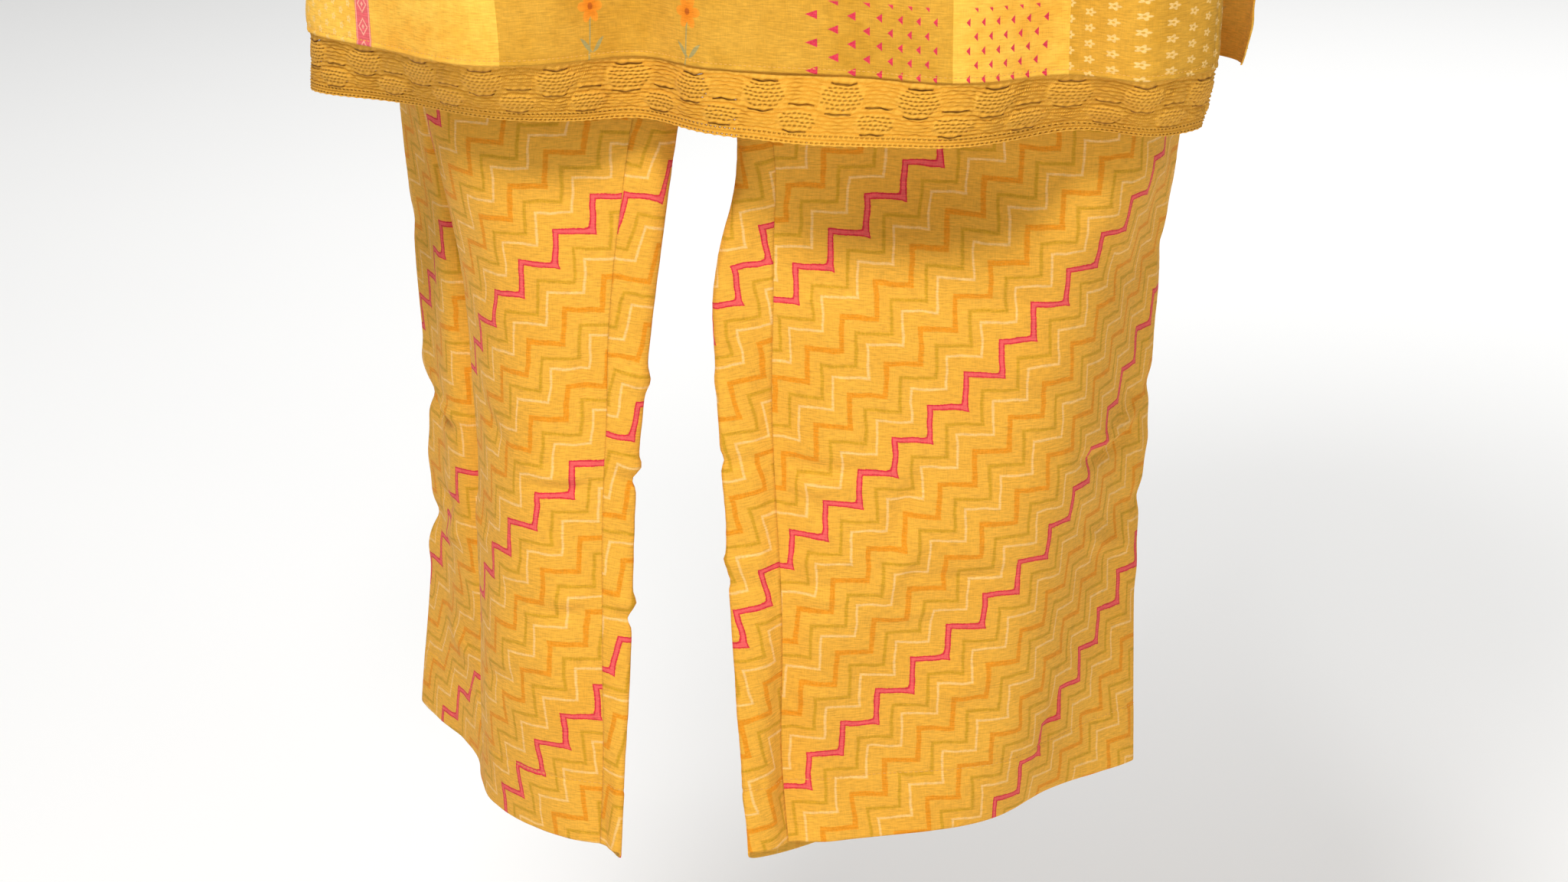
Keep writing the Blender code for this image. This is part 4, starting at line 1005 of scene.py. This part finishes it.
def add_trousers(printed, reverse):
    """Four panels on the leg and hip sections, with shared normals along each seam.

    Rows crowd at the hem's fold and at its stitches. A front panel's flat x starts 0.3 of the way
    from its leg's inner crease to the outer one, and a back panel's at the inseam. For each panel
    it lists the piece, its node, its outer face, its normals and how far each point is above or
    below the line of its hem's stitches.
    """
    stitched = TROUSER_HEM + TROUSER_HEM_DEPTH
    low = stretches(
        (TROUSER_HEM, TROUSER_HEM + 0.003, 0.001), (TROUSER_HEM + 0.003, stitched - 0.005, 0.0032),
        (stitched - 0.005, stitched + 0.005, 0.001), (stitched + 0.005, LEG_ROWS_FINE, 0.0032),
        (LEG_ROWS_FINE, CROTCH, 0.010),
    )[:, None]
    rows_up = stretches((0.0, np.pi / 2, np.pi / 32))[1:]
    crotch_rows = CROTCH + CROTCH_RISE * (1 - np.cos(rows_up))
    hips = stretches((CROTCH + CROTCH_RISE, WAIST - WAISTBAND - SEAM_GAP, 0.007))[1:]
    above = np.concatenate([crotch_rows, hips])[:, None]
    crotch = len(low) - 1
    panels, shares, normals = {}, {}, {}
    for hand in (1, -1):
        for side in (-1, 1):
            points, shares[hand, side] = trouser_points(hand, side, low, above)
            normal = face_normals(points)
            normals[hand, side] = outward(points, normal, points.mean(axis=1, keepdims=True))
            panels[hand, side] = points
        share_normals(normals[hand, -1], normals[hand, 1], crotch)
    made = []
    for (hand, side), points in panels.items():
        normal = normals[hand, side]
        along = lengths(points, 1)
        flat_x = -hand * along
        if side < 0:
            rows = zip(shares[hand, side], along)
            start = np.array([np.interp(FLAT_START, share, far) for share, far in rows])
            flat_x = hand * (along - start[:, None])
        flat = np.stack([flat_x, -points[..., 2]], -1)
        up = np.concatenate([low, above]) - TROUSER_HEM + 0 * along
        other_seam = along[:, -1:] - along
        free = calm(np.minimum(along, other_seam))
        gathers = np.sin(2 * np.pi * flat_x / GATHER_PITCH + 2.1 * waves(flat, 0.05, 1.7))
        gathers *= GATHER_OUT * np.exp(-np.clip(WAIST - WAISTBAND - points[..., 2], 0, 1) / GATHER_REACH)
        relief = creased(LEG_CREASES[hand, side], flat) + gathers
        relief += wavy(flat, LEG_WAVES, hand + 0.2 * side)
        relief += wavy(flat * np.array([1.0, 1.6]), LEG_RIPPLES, 2.0 * hand + side)
        relief = relief * free + hem_relief(up, TROUSER_HEM_DEPTH, flat) * (0.3 + 0.7 * free)
        relief -= seam_dip(along) + seam_dip(other_seam)
        outer = points + relief[..., None] * normal
        inner = outer - CLOTH * normal
        for face in (outer, inner):
            for edge, beside in ((0, 1), (-1, -2)):
                face[:, edge] += SEWN_GAP / 2 * unit(face[:, beside] - face[:, edge])
            face[crotch:, :, 0] = hand * np.maximum(hand * face[crotch:, :, 0], SEWN_GAP / 2)
        node = f"trouser_{'left' if hand > 0 else 'right'}_{'front' if side < 0 else 'back'}"
        place = print_place(flat, (hand, side))
        piece = wall(node + "_cloth", outer, inner, place, (printed, reverse))
        made.append((piece, node, outer, normal, up - TROUSER_HEM_DEPTH))
    return made


def add_kameez(printed, reverse):
    """The front and back panels: below the underarm by height, and above it by rise.

    What is made is listed as the trousers' panels are.
    """
    neck = np.linspace(-NECK_SHARE, NECK_SHARE, 109)
    beyond = NECK_SHARE + (1 - NECK_SHARE) * (1 - (1 - np.linspace(0, 1, 37)[1:]) ** 1.5)
    across = np.concatenate([-beyond[::-1], neck, beyond])
    made = []
    for node, side, bottom, hem_depth in (
        ("kameez_front", -1, HEM, KAMEEZ_HEM_DEPTH), ("kameez_back", 1, BACK_HEM, BACK_HEM_DEPTH),
    ):
        z = stretches(
            (bottom, bottom + 0.006, 0.001), (bottom + 0.006, bottom + KAMEEZ_ROWS_FINE, 0.0030),
            (bottom + KAMEEZ_ROWS_FINE, SLIT_TOP, 0.007), (SLIT_TOP, UNDERARM, 0.008),
        )[:, None]
        rise = np.linspace(0, 1, RISE_ROWS)[1:, None]
        below = kameez_below(side, across + 0 * z, z + 0 * across)
        above = kameez_above(side, across + 0 * rise, rise + 0 * across)
        points = np.concatenate([below, above])
        normal = outward(points, face_normals(points), np.array([0.0, 0.0, SLIT_TOP]))
        sewn = np.abs(points[..., 1]) < SEAM_GAP / 2
        for edge, out in ((0, -1.0), (-1, 1.0)):
            normal[sewn[:, edge], edge] = (out, 0.0, 0.0)
        normal[-1, sewn[-1]] = (0.0, 0.0, 1.0)
        along = lengths(points, 1)
        middle = along[:, len(across) // 2][:, None]
        down = lengths(points, 0)
        flat_y = np.where(points[..., 2] < UNDERARM, -points[..., 2], 0)
        chest = len(z) - 1
        flat_y[chest:] = -UNDERARM - (down[chest:] - down[chest])
        flat = np.stack([-side * (along - middle), flat_y], -1)
        side_far = np.minimum(along, along[:, -1:] - along)
        top_far = down[-1:] - down
        slit = smooth_step((SLIT_TOP - points[..., 2]) / 0.01)
        relief = creased(KAMEEZ_CREASES[side], flat) + wavy(flat, KAMEEZ_WAVES, 0.6 + side)
        relief = relief * calm(side_far) * calm(top_far)
        up = points[..., 2] - bottom
        relief += hem_relief(up, hem_depth, flat)
        relief += hem_relief(side_far + 0.3 * (1 - slit), SLIT_HEM_DEPTH, flat[..., ::-1]) * slit
        around_neck = np.abs(across)[None, :] <= NECK_SHARE
        neck_far = np.where(around_neck, top_far, 1.0)
        relief += hem_relief(neck_far, NECK_HEM_DEPTH, flat)
        relief -= seam_dip(side_far) * (1 - slit)
        relief -= seam_dip(top_far) * (1 - around_neck)
        outer = points + relief[..., None] * normal
        inner = outer - CLOTH * normal
        for face in (outer, inner):
            low_side = side * face[..., 1] < SEWN_GAP / 2
            face[..., 1] = np.where(low_side, side * SEWN_GAP / 2, face[..., 1])
        place = flat + np.array(PATCHWORK_SHIFT[node])
        piece = wall(node + "_cloth", outer, inner, place, (printed, reverse))
        made.append((piece, node, outer, normal, up - hem_depth))
    return made


def sleeve_points(hand):
    """A sleeve's surface: a cubic curve from each point of the armhole, then straight to the cuff.

    The curve leaves the armhole sideways and down, more steeply at the underarm, and meets the
    upper arm in line with it.
    """
    rise = np.linspace(0, 1, RISE_ROWS)
    edge = np.full(rise.shape, float(hand))
    front, back = kameez_above(-1, edge, rise), kameez_above(1, edge, rise)[::-1]
    first = np.concatenate([front, back[1:-1]])
    first[:, 0] += hand * SEAM_GAP
    turn = np.arange(len(first)) / len(first) * 2 * np.pi
    rounds = []
    for row in SLEEVE:
        part = dict(zip(SLEEVE_COLUMNS, row))
        lean = np.radians(part["lean"])
        x = part["centre_x"] - part["half_out"] * np.cos(turn) * np.cos(lean)
        z = part["centre_z"] - part["half_out"] * np.cos(turn) * np.sin(lean)
        y = part["centre_y"] - part["half_deep"] * np.sin(turn)
        rounds.append(np.stack([hand * x, y, z], -1))
    upper, elbow, cuff = rounds
    reach = np.linalg.norm(upper - first, axis=-1, keepdims=True)
    low = (first[:, 2].max() - first[:, 2]) / np.ptp(first[:, 2])
    away = unit(np.stack([hand + 0 * low, 0 * low, -CAP_SLOPE - UNDERARM_SLOPE * low], -1))
    leave = first + CAP_LEAVE * reach * away
    arrive = upper - CAP_ARRIVE * reach * unit(elbow - upper)
    t = stretches((0.0, 0.1, 0.012), (0.1, 1.0, 0.045))[:, None, None]
    cap = (1 - t) ** 3 * first + 3 * (1 - t) ** 2 * t * leave
    cap = cap + 3 * (1 - t) * t**2 * arrive + t**3 * upper
    upper_arm = upper + np.linspace(0, 1, 22)[1:, None, None] * (elbow - upper)
    low_steps = stretches((0.0, 0.80, 0.045), (0.80, 0.88, 0.01), (0.88, 1.0, 0.02))
    fore_arm = elbow + low_steps[1:, None, None] * (cuff - elbow)
    return np.concatenate([cap, upper_arm, fore_arm])


def add_sleeves(printed, reverse):
    """Two tubes from the armholes to the cuffs, listed as the trousers' panels are."""
    made = []
    for node, hand in (("sleeve_left", 1), ("sleeve_right", -1)):
        points = sleeve_points(hand)
        normal = outward(points, ring_normals(points), points.mean(axis=1, keepdims=True))
        normal[0] = unit(normal[0] * np.array([0.0, 1.0, 1.0]))
        closed = np.concatenate([points, points[:, :1]], axis=1)
        gone = lengths(closed, 0)
        flat = np.stack([hand * lengths(closed, 1), gone], -1)
        part_flat = flat[:, :-1] * np.array([hand, 1.0])
        seam_far, cuff_far = gone[:, :-1], (gone[-1:] - gone)[:, :-1]
        relief = creased(SLEEVE_CREASES, part_flat) + wavy(part_flat, SLEEVE_WAVES, hand)
        relief *= 1 - bell(seam_far, 9 * MM)
        relief += hem_relief(cuff_far, SLEEVE_HEM_DEPTH, part_flat) - seam_dip(seam_far)
        outer = points + relief[..., None] * normal
        place = flat + np.array(PATCHWORK_SHIFT[node])
        piece = wall(node + "_cloth", outer, outer - CLOTH * normal, place, (printed, reverse), True)
        made.append((piece, node, outer, normal, cuff_far - SLEEVE_HEM_DEPTH))
    return made


def add_waistband(printed, reverse):
    """Elastic in a casing: an oval band whose cloth is gathered in small uneven upright pleats.

    Both faces lie half the elastic off its middle. They pull in at the edges and at two rows of
    stitching, a third and two thirds up, and carry a sine round the band that sways on the way up.
    """
    turn = np.arange(360) / 360 * 2 * np.pi
    top = dict(zip(HIP_COLUMNS, HIPS[-1]))
    depth = np.where(np.cos(turn) > 0, top["front_depth"], top["back_depth"])
    level = np.stack([top["half_width"] * np.sin(turn), -depth * np.cos(turn), 0 * turn], -1)
    heights = stretches((WAIST - WAISTBAND, WAIST, 0.0025))[:, None, None]
    points = level[None] + heights * np.array([0.0, 0.0, 1.0])
    normal = outward(points, ring_normals(points), points.mean(axis=(0, 1)))
    closed = np.concatenate([points, points[:, :1]], axis=1)
    flat = np.stack([lengths(closed, 1), -closed[..., 2]], -1)
    up = (heights[..., 0] - (WAIST - WAISTBAND)) / WAISTBAND + 0 * turn
    pleats = np.sin(PLEATS * turn + 1.8 * np.sin(7 * turn) + 0.6 * np.sin(9 * up))
    stitching = bell(up - 0.33, 0.04) + bell(up - 0.67, 0.04)
    relief = PLEAT_OUT * pleats - CASING_SWELL * (1 - np.sin(np.pi * up) + stitching)
    middle = points - 0.6 * MM * normal
    off = (ELASTIC / 2 + relief - 0.4 * MM)[..., None] * normal
    place = flat * np.array([GATHERED_CLOTH, 1.0])
    return wall("waistband_cloth", middle + off, middle - off, place, (printed, reverse), True)


# The crochet band. Each line between two strands is given by how far below the hem it runs at the
# middle of an upper leaf and half a repeat on, in millimetres.
LACE_LINES = (
    (-5.2, -5.2), (-2.6, -2.6), (0.4, 0.2), (4.7, 2.7), (6.9, 4.9), (9.0, 7.0), (11.2, 9.1), (13.4, 11.2),
    (15.6, 13.4), (18.0, 16.1), (20.9, 18.9), (22.9, 21.2), (24.9, 23.4), (26.8, 25.6), (28.6, 27.8),
    (30.4, 31.0), (32.6, 32.9), (34.6, 34.8), (36.4, 36.5),
)
NET_PITCH = LACE_REPEAT / 15
# The slits, by their line, their place in the repeat, their half length in the repeat and half
# height in millimetres. Then the nets, by their first and last line, place and half length.
LACE_SLITS = ((3, 0.0, 0.150, 0.36), (9, 0.5, 0.155, 0.36), (10, 0.0, 0.155, 0.34), (15, 0.5, 0.140, 0.32))
LACE_NETS = ((4, 9, 0.0, 0.27), (11, 14, 0.5, 0.25))
LACE_LEAVES = ((6, 8, 0.5, 0.21), (12, 14, 0.0, 0.19))  # twisted ropes that stand out between nets
HEAD_LINES, BORDER_LINES = (0, 1, 2), (16, 18)
THICK_ROPES = (3, 4, 9, 10, 11, 15, 16)  # the ropes above these lines
ROPE_WANDER, BORDER_WANDER = 0.24, 0.05
# In millimetres: half the gap at a line, how far its upper lip hangs over it, how thick the band is
# at both lips, and how far nets and leaves stand out.
ROPE_GAP, NET_GAP = 0.26, 0.20
SLIT_OVERHANG, NET_OVERHANG = 0.8, 0.35
ROPE_LIP, NET_LIP, BORDER_LIP, SLIT_LIP = 0.16, 0.52, 0.45, 0.85
NET_RISE, LEAF_RISE = 1.15, 0.9
# The yarn's painted light and shade at a line, from 0, painted black, in a slit to 1 on a strand's crest.
ROPE_PAINTED_LIGHT, NET_PAINTED_LIGHT, BORDER_PAINTED_LIGHT, HOLE_PAINTED_LIGHT = 0.34, 0.72, 0.66, 0.10
LACE_END = 0.6 * MM  # how far short of the hem's ends the band stops
LACE_BACK = 2.3  # millimetres that its middle lies behind the kameez's face


def lace_places():
    """Where the band's columns lie: along the hem in metres, across it from -1 to 1, and in repeats."""
    fine = np.linspace(-1, 1, 4001)
    hem_length = lengths(kameez_below(-1, fine, HEM + 0 * fine), 0)
    whole = hem_length[-1]
    halves = int(2 * (whole - SLIT_LONG) / LACE_REPEAT)
    margin = (whole - halves * LACE_REPEAT / 2 - SLIT_LONG) / 2
    place = np.linspace(LACE_END, whole - LACE_END, int(whole / (NET_PITCH / 3)))
    phase = (place - margin - SLIT_LONG / 2) / LACE_REPEAT
    return place, np.interp(place, hem_length, fine), phase


def lace_lines(place, phase):
    """The lines between strands, as arrays of line by column, named in a dictionary.

    A line's depth is a cosine over the repeat, and ropes wander off it by two sines. A hole is a
    stretch between two columns, every third one along, staggered from line to line. A slit is a
    long run of them, as high as an oval. Nets and leaves are ovals of 1 - x^2 - y^2 over lines.
    """
    table = np.array(LACE_LINES)
    order = np.arange(len(table))[:, None]
    step = np.arange(len(place))
    rope = (order > HEAD_LINES[-1]) & (order < BORDER_LINES[0])
    centre = table.mean(axis=1)[:, None] + (table[:, :1] - table[:, 1:]) / 2 * np.cos(2 * np.pi * phase)
    wander = np.sin(2 * np.pi * place / (8.3 * MM) + 2.3 * order)
    wander += np.sin(2 * np.pi * place / (12.7 * MM) + 4.1 * order)
    centre += np.where(rope, ROPE_WANDER, BORDER_WANDER) * wander

    def off(at):
        """How far along the repeat each column is from the nearest place at."""
        return np.abs((phase - at + 0.5) % 1.0 - 0.5)

    def oval(first, last, spare, along):
        """1 in the middle between two lines and 0 at spare millimetres past them or where along is 1."""
        middle = (centre[first] + centre[last]) / 2
        tall = (centre[last] - centre[first]) / 2 + spare
        return 1 - along**2 - ((centre - middle) / tall) ** 2

    half_gap, lip = np.full(centre.shape, ROPE_GAP), np.full(centre.shape, ROPE_LIP)
    overhang, rise, net = np.zeros(centre.shape), np.zeros(centre.shape), np.zeros(centre.shape)
    opened = np.zeros(centre.shape, bool)
    # The painted light and shade at each line, a little uneven along the band.
    light = ROPE_PAINTED_LIGHT + 0.10 * waves(np.stack([phase * 0.4, 0 * phase], -1), 0.09, 0.4) + 0 * centre
    for line, at, half, high in LACE_SLITS:
        lens = np.sqrt(np.clip(1 - (off(at) / half) ** 2, 0, 1))
        half_gap[line] = np.maximum(half_gap[line], high * lens)
        overhang[line] = np.maximum(overhang[line], SLIT_OVERHANG * lens)
        opened[line] |= off(at) < half
    for first, last, at, half in LACE_NETS:
        for line in range(first, last + 1):
            tall = (line - (first + last) / 2) / ((last - first) / 2 + 1)
            inside = off(at) < half * np.sqrt(1 - tall**2)
            half_gap[line] = np.where(inside, NET_GAP, half_gap[line])
            overhang[line] = np.where(inside, NET_OVERHANG, overhang[line])
            opened[line] |= inside & ((step + 2 * (line % 2)) % 3 == 0)
        dome = oval(first, last, 1.6, off(at) / (half + 0.06))
        lip = np.maximum(lip, NET_LIP * np.clip(3 * dome, 0, 1))
        rise = np.maximum(rise, NET_RISE * np.clip(dome, 0, 1) ** 0.6)
        net = np.maximum(net, np.clip(1.2 * dome, 0, 1))
        light[first : last + 1, off(at) < half] = NET_PAINTED_LIGHT
    for first, last, at, half in LACE_LEAVES:
        dome = oval(first, last, 1.4, off(at) / half)
        rise = np.maximum(rise, LEAF_RISE * np.clip(dome, 0, 1) ** 0.5)
    for line in BORDER_LINES:
        opened[line] |= (step + line // 2) % 3 == 0
    for line in (*HEAD_LINES, *BORDER_LINES):
        lip[line], light[line] = BORDER_LIP, BORDER_PAINTED_LIGHT
    # Beside a hole the yarn gets painted shade, and in a slit it is painted black.
    light = np.where(opened | np.roll(opened, 1, axis=1), HOLE_PAINTED_LIGHT, light)
    for line, at, half, _ in LACE_SLITS:
        inside = off(at) < half + 0.01
        lip[line] = np.maximum(lip[line], SLIT_LIP * inside)
        light[line] = np.where(inside, 0.0, light[line])
    fine = 0.5 + 0.5 * np.cos(2 * np.pi * place / NET_PITCH + np.pi * order)
    twist = 0.5 + 0.5 * np.cos(2 * np.pi * place / (1.7 * NET_PITCH) + 1.1 * order)
    # light is the yarn's painted light and shade at each line.
    return {
        "upper": centre - half_gap + 0.5 * overhang, "lower": centre + half_gap, "lip": lip,
        "overhang": overhang, "rise": rise, "net": net, "opened": opened, "light": light,
        "fine": fine, "bumps": np.where(rope, 0.25 * fine + 0.75 * twist, fine),
    }


def lace_rows(top, threes, foot):
    """A band's rows from its top one, three for each line in turn, and two at its foot."""
    return np.concatenate([top, np.stack(threes, 1).reshape(-1, top.shape[1]), *foot])


def add_lace(yarn):
    """The crochet band: rows follow its strands, two lips to each line between them and a crest.

    A strand is thick at its crest and thin at its lips. The lip above a hole stands out and hangs
    over it, so that no hole is seen straight through, and the one below it lies back.
    """
    place, across, phase = lace_places()
    lines = lace_lines(place, phase)
    upper, lower, lip, net = lines["upper"], lines["lower"], lines["lip"], lines["net"]
    bumps, fine, rise = lines["bumps"], lines["fine"], lines["rise"]
    one = np.ones((1, len(place)))
    head = -LACE_TUCK / MM * one
    foot = LACE_DROP / MM * one - 0.5 * np.abs(np.sin(np.pi * place / NET_PITCH / 2))
    crest = (np.concatenate([head, lower[:-1]]) + upper) / 2
    thick_rope = np.where(np.isin(np.arange(len(upper)), THICK_ROPES), 1.3, 1.0)[:, None]
    strand = thick_rope * (0.55 + 0.62 * bumps) * (1 - net) + (0.62 + 0.20 * fine) * net
    # Painted light on the strands' crests, brighter on their knobs.
    painted_crest_light = 0.55 + 0.45 * (bumps * (1 - net) + fine * net)
    out = [rise, rise + lines["overhang"], rise - 0.6 * lines["overhang"]]
    depth = MM * lace_rows(head, [crest, upper, lower], [(lower[-1:] + foot) / 2, foot])
    thick = MM * lace_rows(0.5 * one, [strand, lip, lip], [0.62 + 0.3 * bumps[-1:], 0.4 * one])
    raised = MM * (lace_rows(0 * one, out, [0 * one, 0 * one]) - LACE_BACK)
    # The painted light and shade of every row, kept on the mesh as "crest".
    light = [painted_crest_light, lines["light"], lines["light"]]
    light = lace_rows(0.6 * one, light, [0.85 + 0.15 * bumps[-1:], 0.6 * one])
    whole = np.ones(lines["opened"].shape, bool)
    kept = lace_rows(whole[:1], [whole, whole, ~lines["opened"]], [whole[:1], whole[:1]])[1:, :-1]
    points = kameez_below(-1, across + 0 * depth, HEM - depth)
    normal = outward(points, face_normals(points), np.array([0.0, 0.0, HEM]))
    middle = points + raised[..., None] * normal
    outer = middle + thick[..., None] * normal
    inner = middle - 0.8 * thick[..., None] * normal
    flat = np.stack([place + 0 * depth, depth], -1)
    return wall("lace_band_crochet", outer, inner, flat, (yarn, yarn), kept=kept, crest=light)


def add_stitches(name, path, normal, pitch, material, closed=False):
    """A line of sewing stitches: small rounded bars, each laid along the path with a gap between.

    A bar is five rings of four points whose radius swells and shrinks like a half circle.
    """
    if closed:
        path, normal = np.concatenate([path, path[:1]]), np.concatenate([normal, normal[:1]])
    gone = lengths(path, 0)
    at = np.arange(0.5 * pitch, gone[-1] - 0.4 * pitch, pitch)
    t = np.linspace(-0.5, 0.5, 4)
    along = at[:, None] + 0.74 * pitch * t[None, :]
    line = np.stack([np.interp(along, gone, path[:, axis]) for axis in range(3)], -1)
    out = np.stack([np.interp(along, gone, normal[:, axis]) for axis in range(3)], -1)
    cross = np.cross(unit(np.gradient(line, axis=1)), out)
    radius = 0.30 * MM * np.sqrt(np.clip(1.02 - (2 * t) ** 2, 0.03, 1))
    line = line + out * (0.16 * MM * (1 - (2 * t) ** 2)[None, :, None] - 0.02 * MM)
    turn = np.arange(4) / 4 * 2 * np.pi
    rings = line[:, :, None] + radius[None, :, None, None] * (
        np.cos(turn)[None, None, :, None] * cross[:, :, None]
        + np.sin(turn)[None, None, :, None] * out[:, :, None]
    )
    bars, ring_count = rings.shape[:2]
    first = (np.arange(bars) * ring_count * 4)[:, None, None]
    ring, corner = np.meshgrid(np.arange(ring_count - 1), np.arange(4), indexing="ij")
    a = first + (ring * 4 + corner)[None]
    b = first + (ring * 4 + (corner + 1) % 4)[None]
    side_faces = np.stack([a, b, b + 4, a + 4], -1).reshape(-1, 4)
    start = first[:, :, 0] + np.array([[3, 2, 1, 0]])
    stop = first[:, :, 0] + 4 * (ring_count - 1) + np.array([[0, 1, 2, 3]])
    faces = np.concatenate([side_faces, start.reshape(-1, 4), stop.reshape(-1, 4)])
    vertices = rings.reshape(-1, 3)
    corners = vertices[faces[0]]
    face_normal = np.cross(corners[1] - corners[0], corners[3] - corners[0])
    if np.dot(face_normal, corners.mean(axis=0) - line[0, 0]) < 0:
        faces = faces[:, ::-1]
    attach(link(name, vertices, faces, [material]), "root")


def stitch_line(outer, normal, over):
    """The path on a panel where over, which grows or shrinks down each column, is 0, and its normals."""
    order = 1 if over[-1].mean() > over[0].mean() else -1
    rows, columns = np.arange(outer.shape[0]), np.arange(outer.shape[1])
    at = np.array([np.interp(0.0, over[::order, column], rows[::order]) for column in columns])
    low = np.clip(at.astype(int), 0, len(rows) - 2)
    share = (at - low)[:, None]
    path = outer[low, columns] * (1 - share) + outer[low + 1, columns] * share
    return path, unit(normal[low, columns] * (1 - share) + normal[low + 1, columns] * share)


def cut(piece, node):
    """Hides the solid of a cloth piece and hangs the piece on the body's root."""
    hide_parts(node)
    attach(piece, "root")


def cotton(word, print_colour):
    """A printed cotton's two sides."""
    return (
        printed_cotton(word + " printed cotton", print_colour),
        reverse_cotton(word + " cotton, wrong side", print_colour),
    )


def dress():
    """Every piece of the suit."""
    zigzag, patchwork = cotton("zigzag", zigzag_colour), cotton("patchwork", patchwork_colour)
    sewing = thread()
    for add_panels, cloth, pitch, word in (
        (add_trousers, zigzag, TROUSER_STITCH, "hem"),
        (add_kameez, patchwork, KAMEEZ_STITCH, "hem"),
        (add_sleeves, patchwork, KAMEEZ_STITCH, "cuff"),
    ):
        for piece, node, outer, normal, over in add_panels(*cloth):
            cut(piece, node)
            path, out = stitch_line(outer, normal, over)
            add_stitches(f"{node}_{word}_stitches", path, out, pitch, sewing, word == "cuff")
    cut(add_waistband(*zigzag), "waistband")
    cut(add_lace(crochet_cotton()), "lace_band")


# The floor lies well below the hems, because the suit hangs in the air.
FLOOR_HALF, FLOOR_LEVEL = 6.0, -1.75
WORLD_STRENGTH = 0.27
# Each light's name, place, target, size across in metres and power in watts.
LIGHTS = (
    ("key", (-0.22, -2.75, 1.95), (0.03, 0.0, -1.1), 1.0, 150.0),
    ("fill", (2.6, -2.4, -0.4), (0.03, 0.0, -1.1), 2.0, 15.0),
    ("back", (0.3, 3.6, 1.6), (0.1, 1.0, -1.5), 2.5, 100.0),
)


def studio():
    """A pale floor, a white world, a soft key above the camera, a fill at its right and a back light."""
    material, tree, shader = new_material("matte white studio floor")
    place = add(tree, "ShaderNodeTexCoord").outputs["Object"]
    tone = Sums(tree).noise(place, 1.2, 2.0)
    shade = Sums(tree).mix(tone, linear("FAFAF9"), linear("FDFDFC"))
    tree.links.new(shade, shader.inputs["Base Color"])
    shader.inputs["Roughness"].default_value = 0.9
    corners = np.array([[-1, -1, 0], [1, -1, 0], [1, 1, 0], [-1, 1, 0]]) * FLOOR_HALF
    corners = corners + np.array([0.0, 0.0, FLOOR_LEVEL])
    floor = link("floor", corners, np.array([[0, 1, 2, 3]]), [material])
    world = bpy.data.worlds.new("studio")
    bpy.context.scene.world = world
    world.use_nodes = True
    background = world.node_tree.nodes["Background"]
    background.inputs["Color"].default_value = (1.0, 1.0, 1.0, 1.0)
    background.inputs["Strength"].default_value = WORLD_STRENGTH
    bpy.context.scene.view_settings.view_transform = "Standard"
    for name, place, target, size, power in LIGHTS:
        light = bpy.data.lights.new(name, "AREA")
        light.shape, light.size, light.energy = "DISK", size, power
        lamp = bpy.data.objects.new(name, light)
        lamp.location = place
        lamp.rotation_euler = (Vector(target) - Vector(place)).to_track_quat("-Z", "Y").to_euler()
        bpy.context.scene.collection.objects.link(lamp)


def camera():
    """Three metres off, 11 degrees to the wearer's left and 17 degrees up, looking at the legs."""
    target = Vector((0.033, -0.030, -1.128))
    azimuth, elevation, distance = np.radians(11.0), np.radians(17.0), 3.0
    back = Vector((
        np.sin(azimuth) * np.cos(elevation), -np.cos(azimuth) * np.cos(elevation), np.sin(elevation)
    ))
    data = bpy.data.cameras.new("camera")
    data.lens, data.sensor_width = 118.0, 36.0
    data.clip_start, data.clip_end = 0.05, 50.0
    eye = bpy.data.objects.new("camera", data)
    eye.location = target + distance * back
    eye.rotation_euler = (-back).to_track_quat("-Z", "Y").to_euler()
    bpy.context.scene.collection.objects.link(eye)
    bpy.context.scene.camera = eye


dress()
studio()
camera()
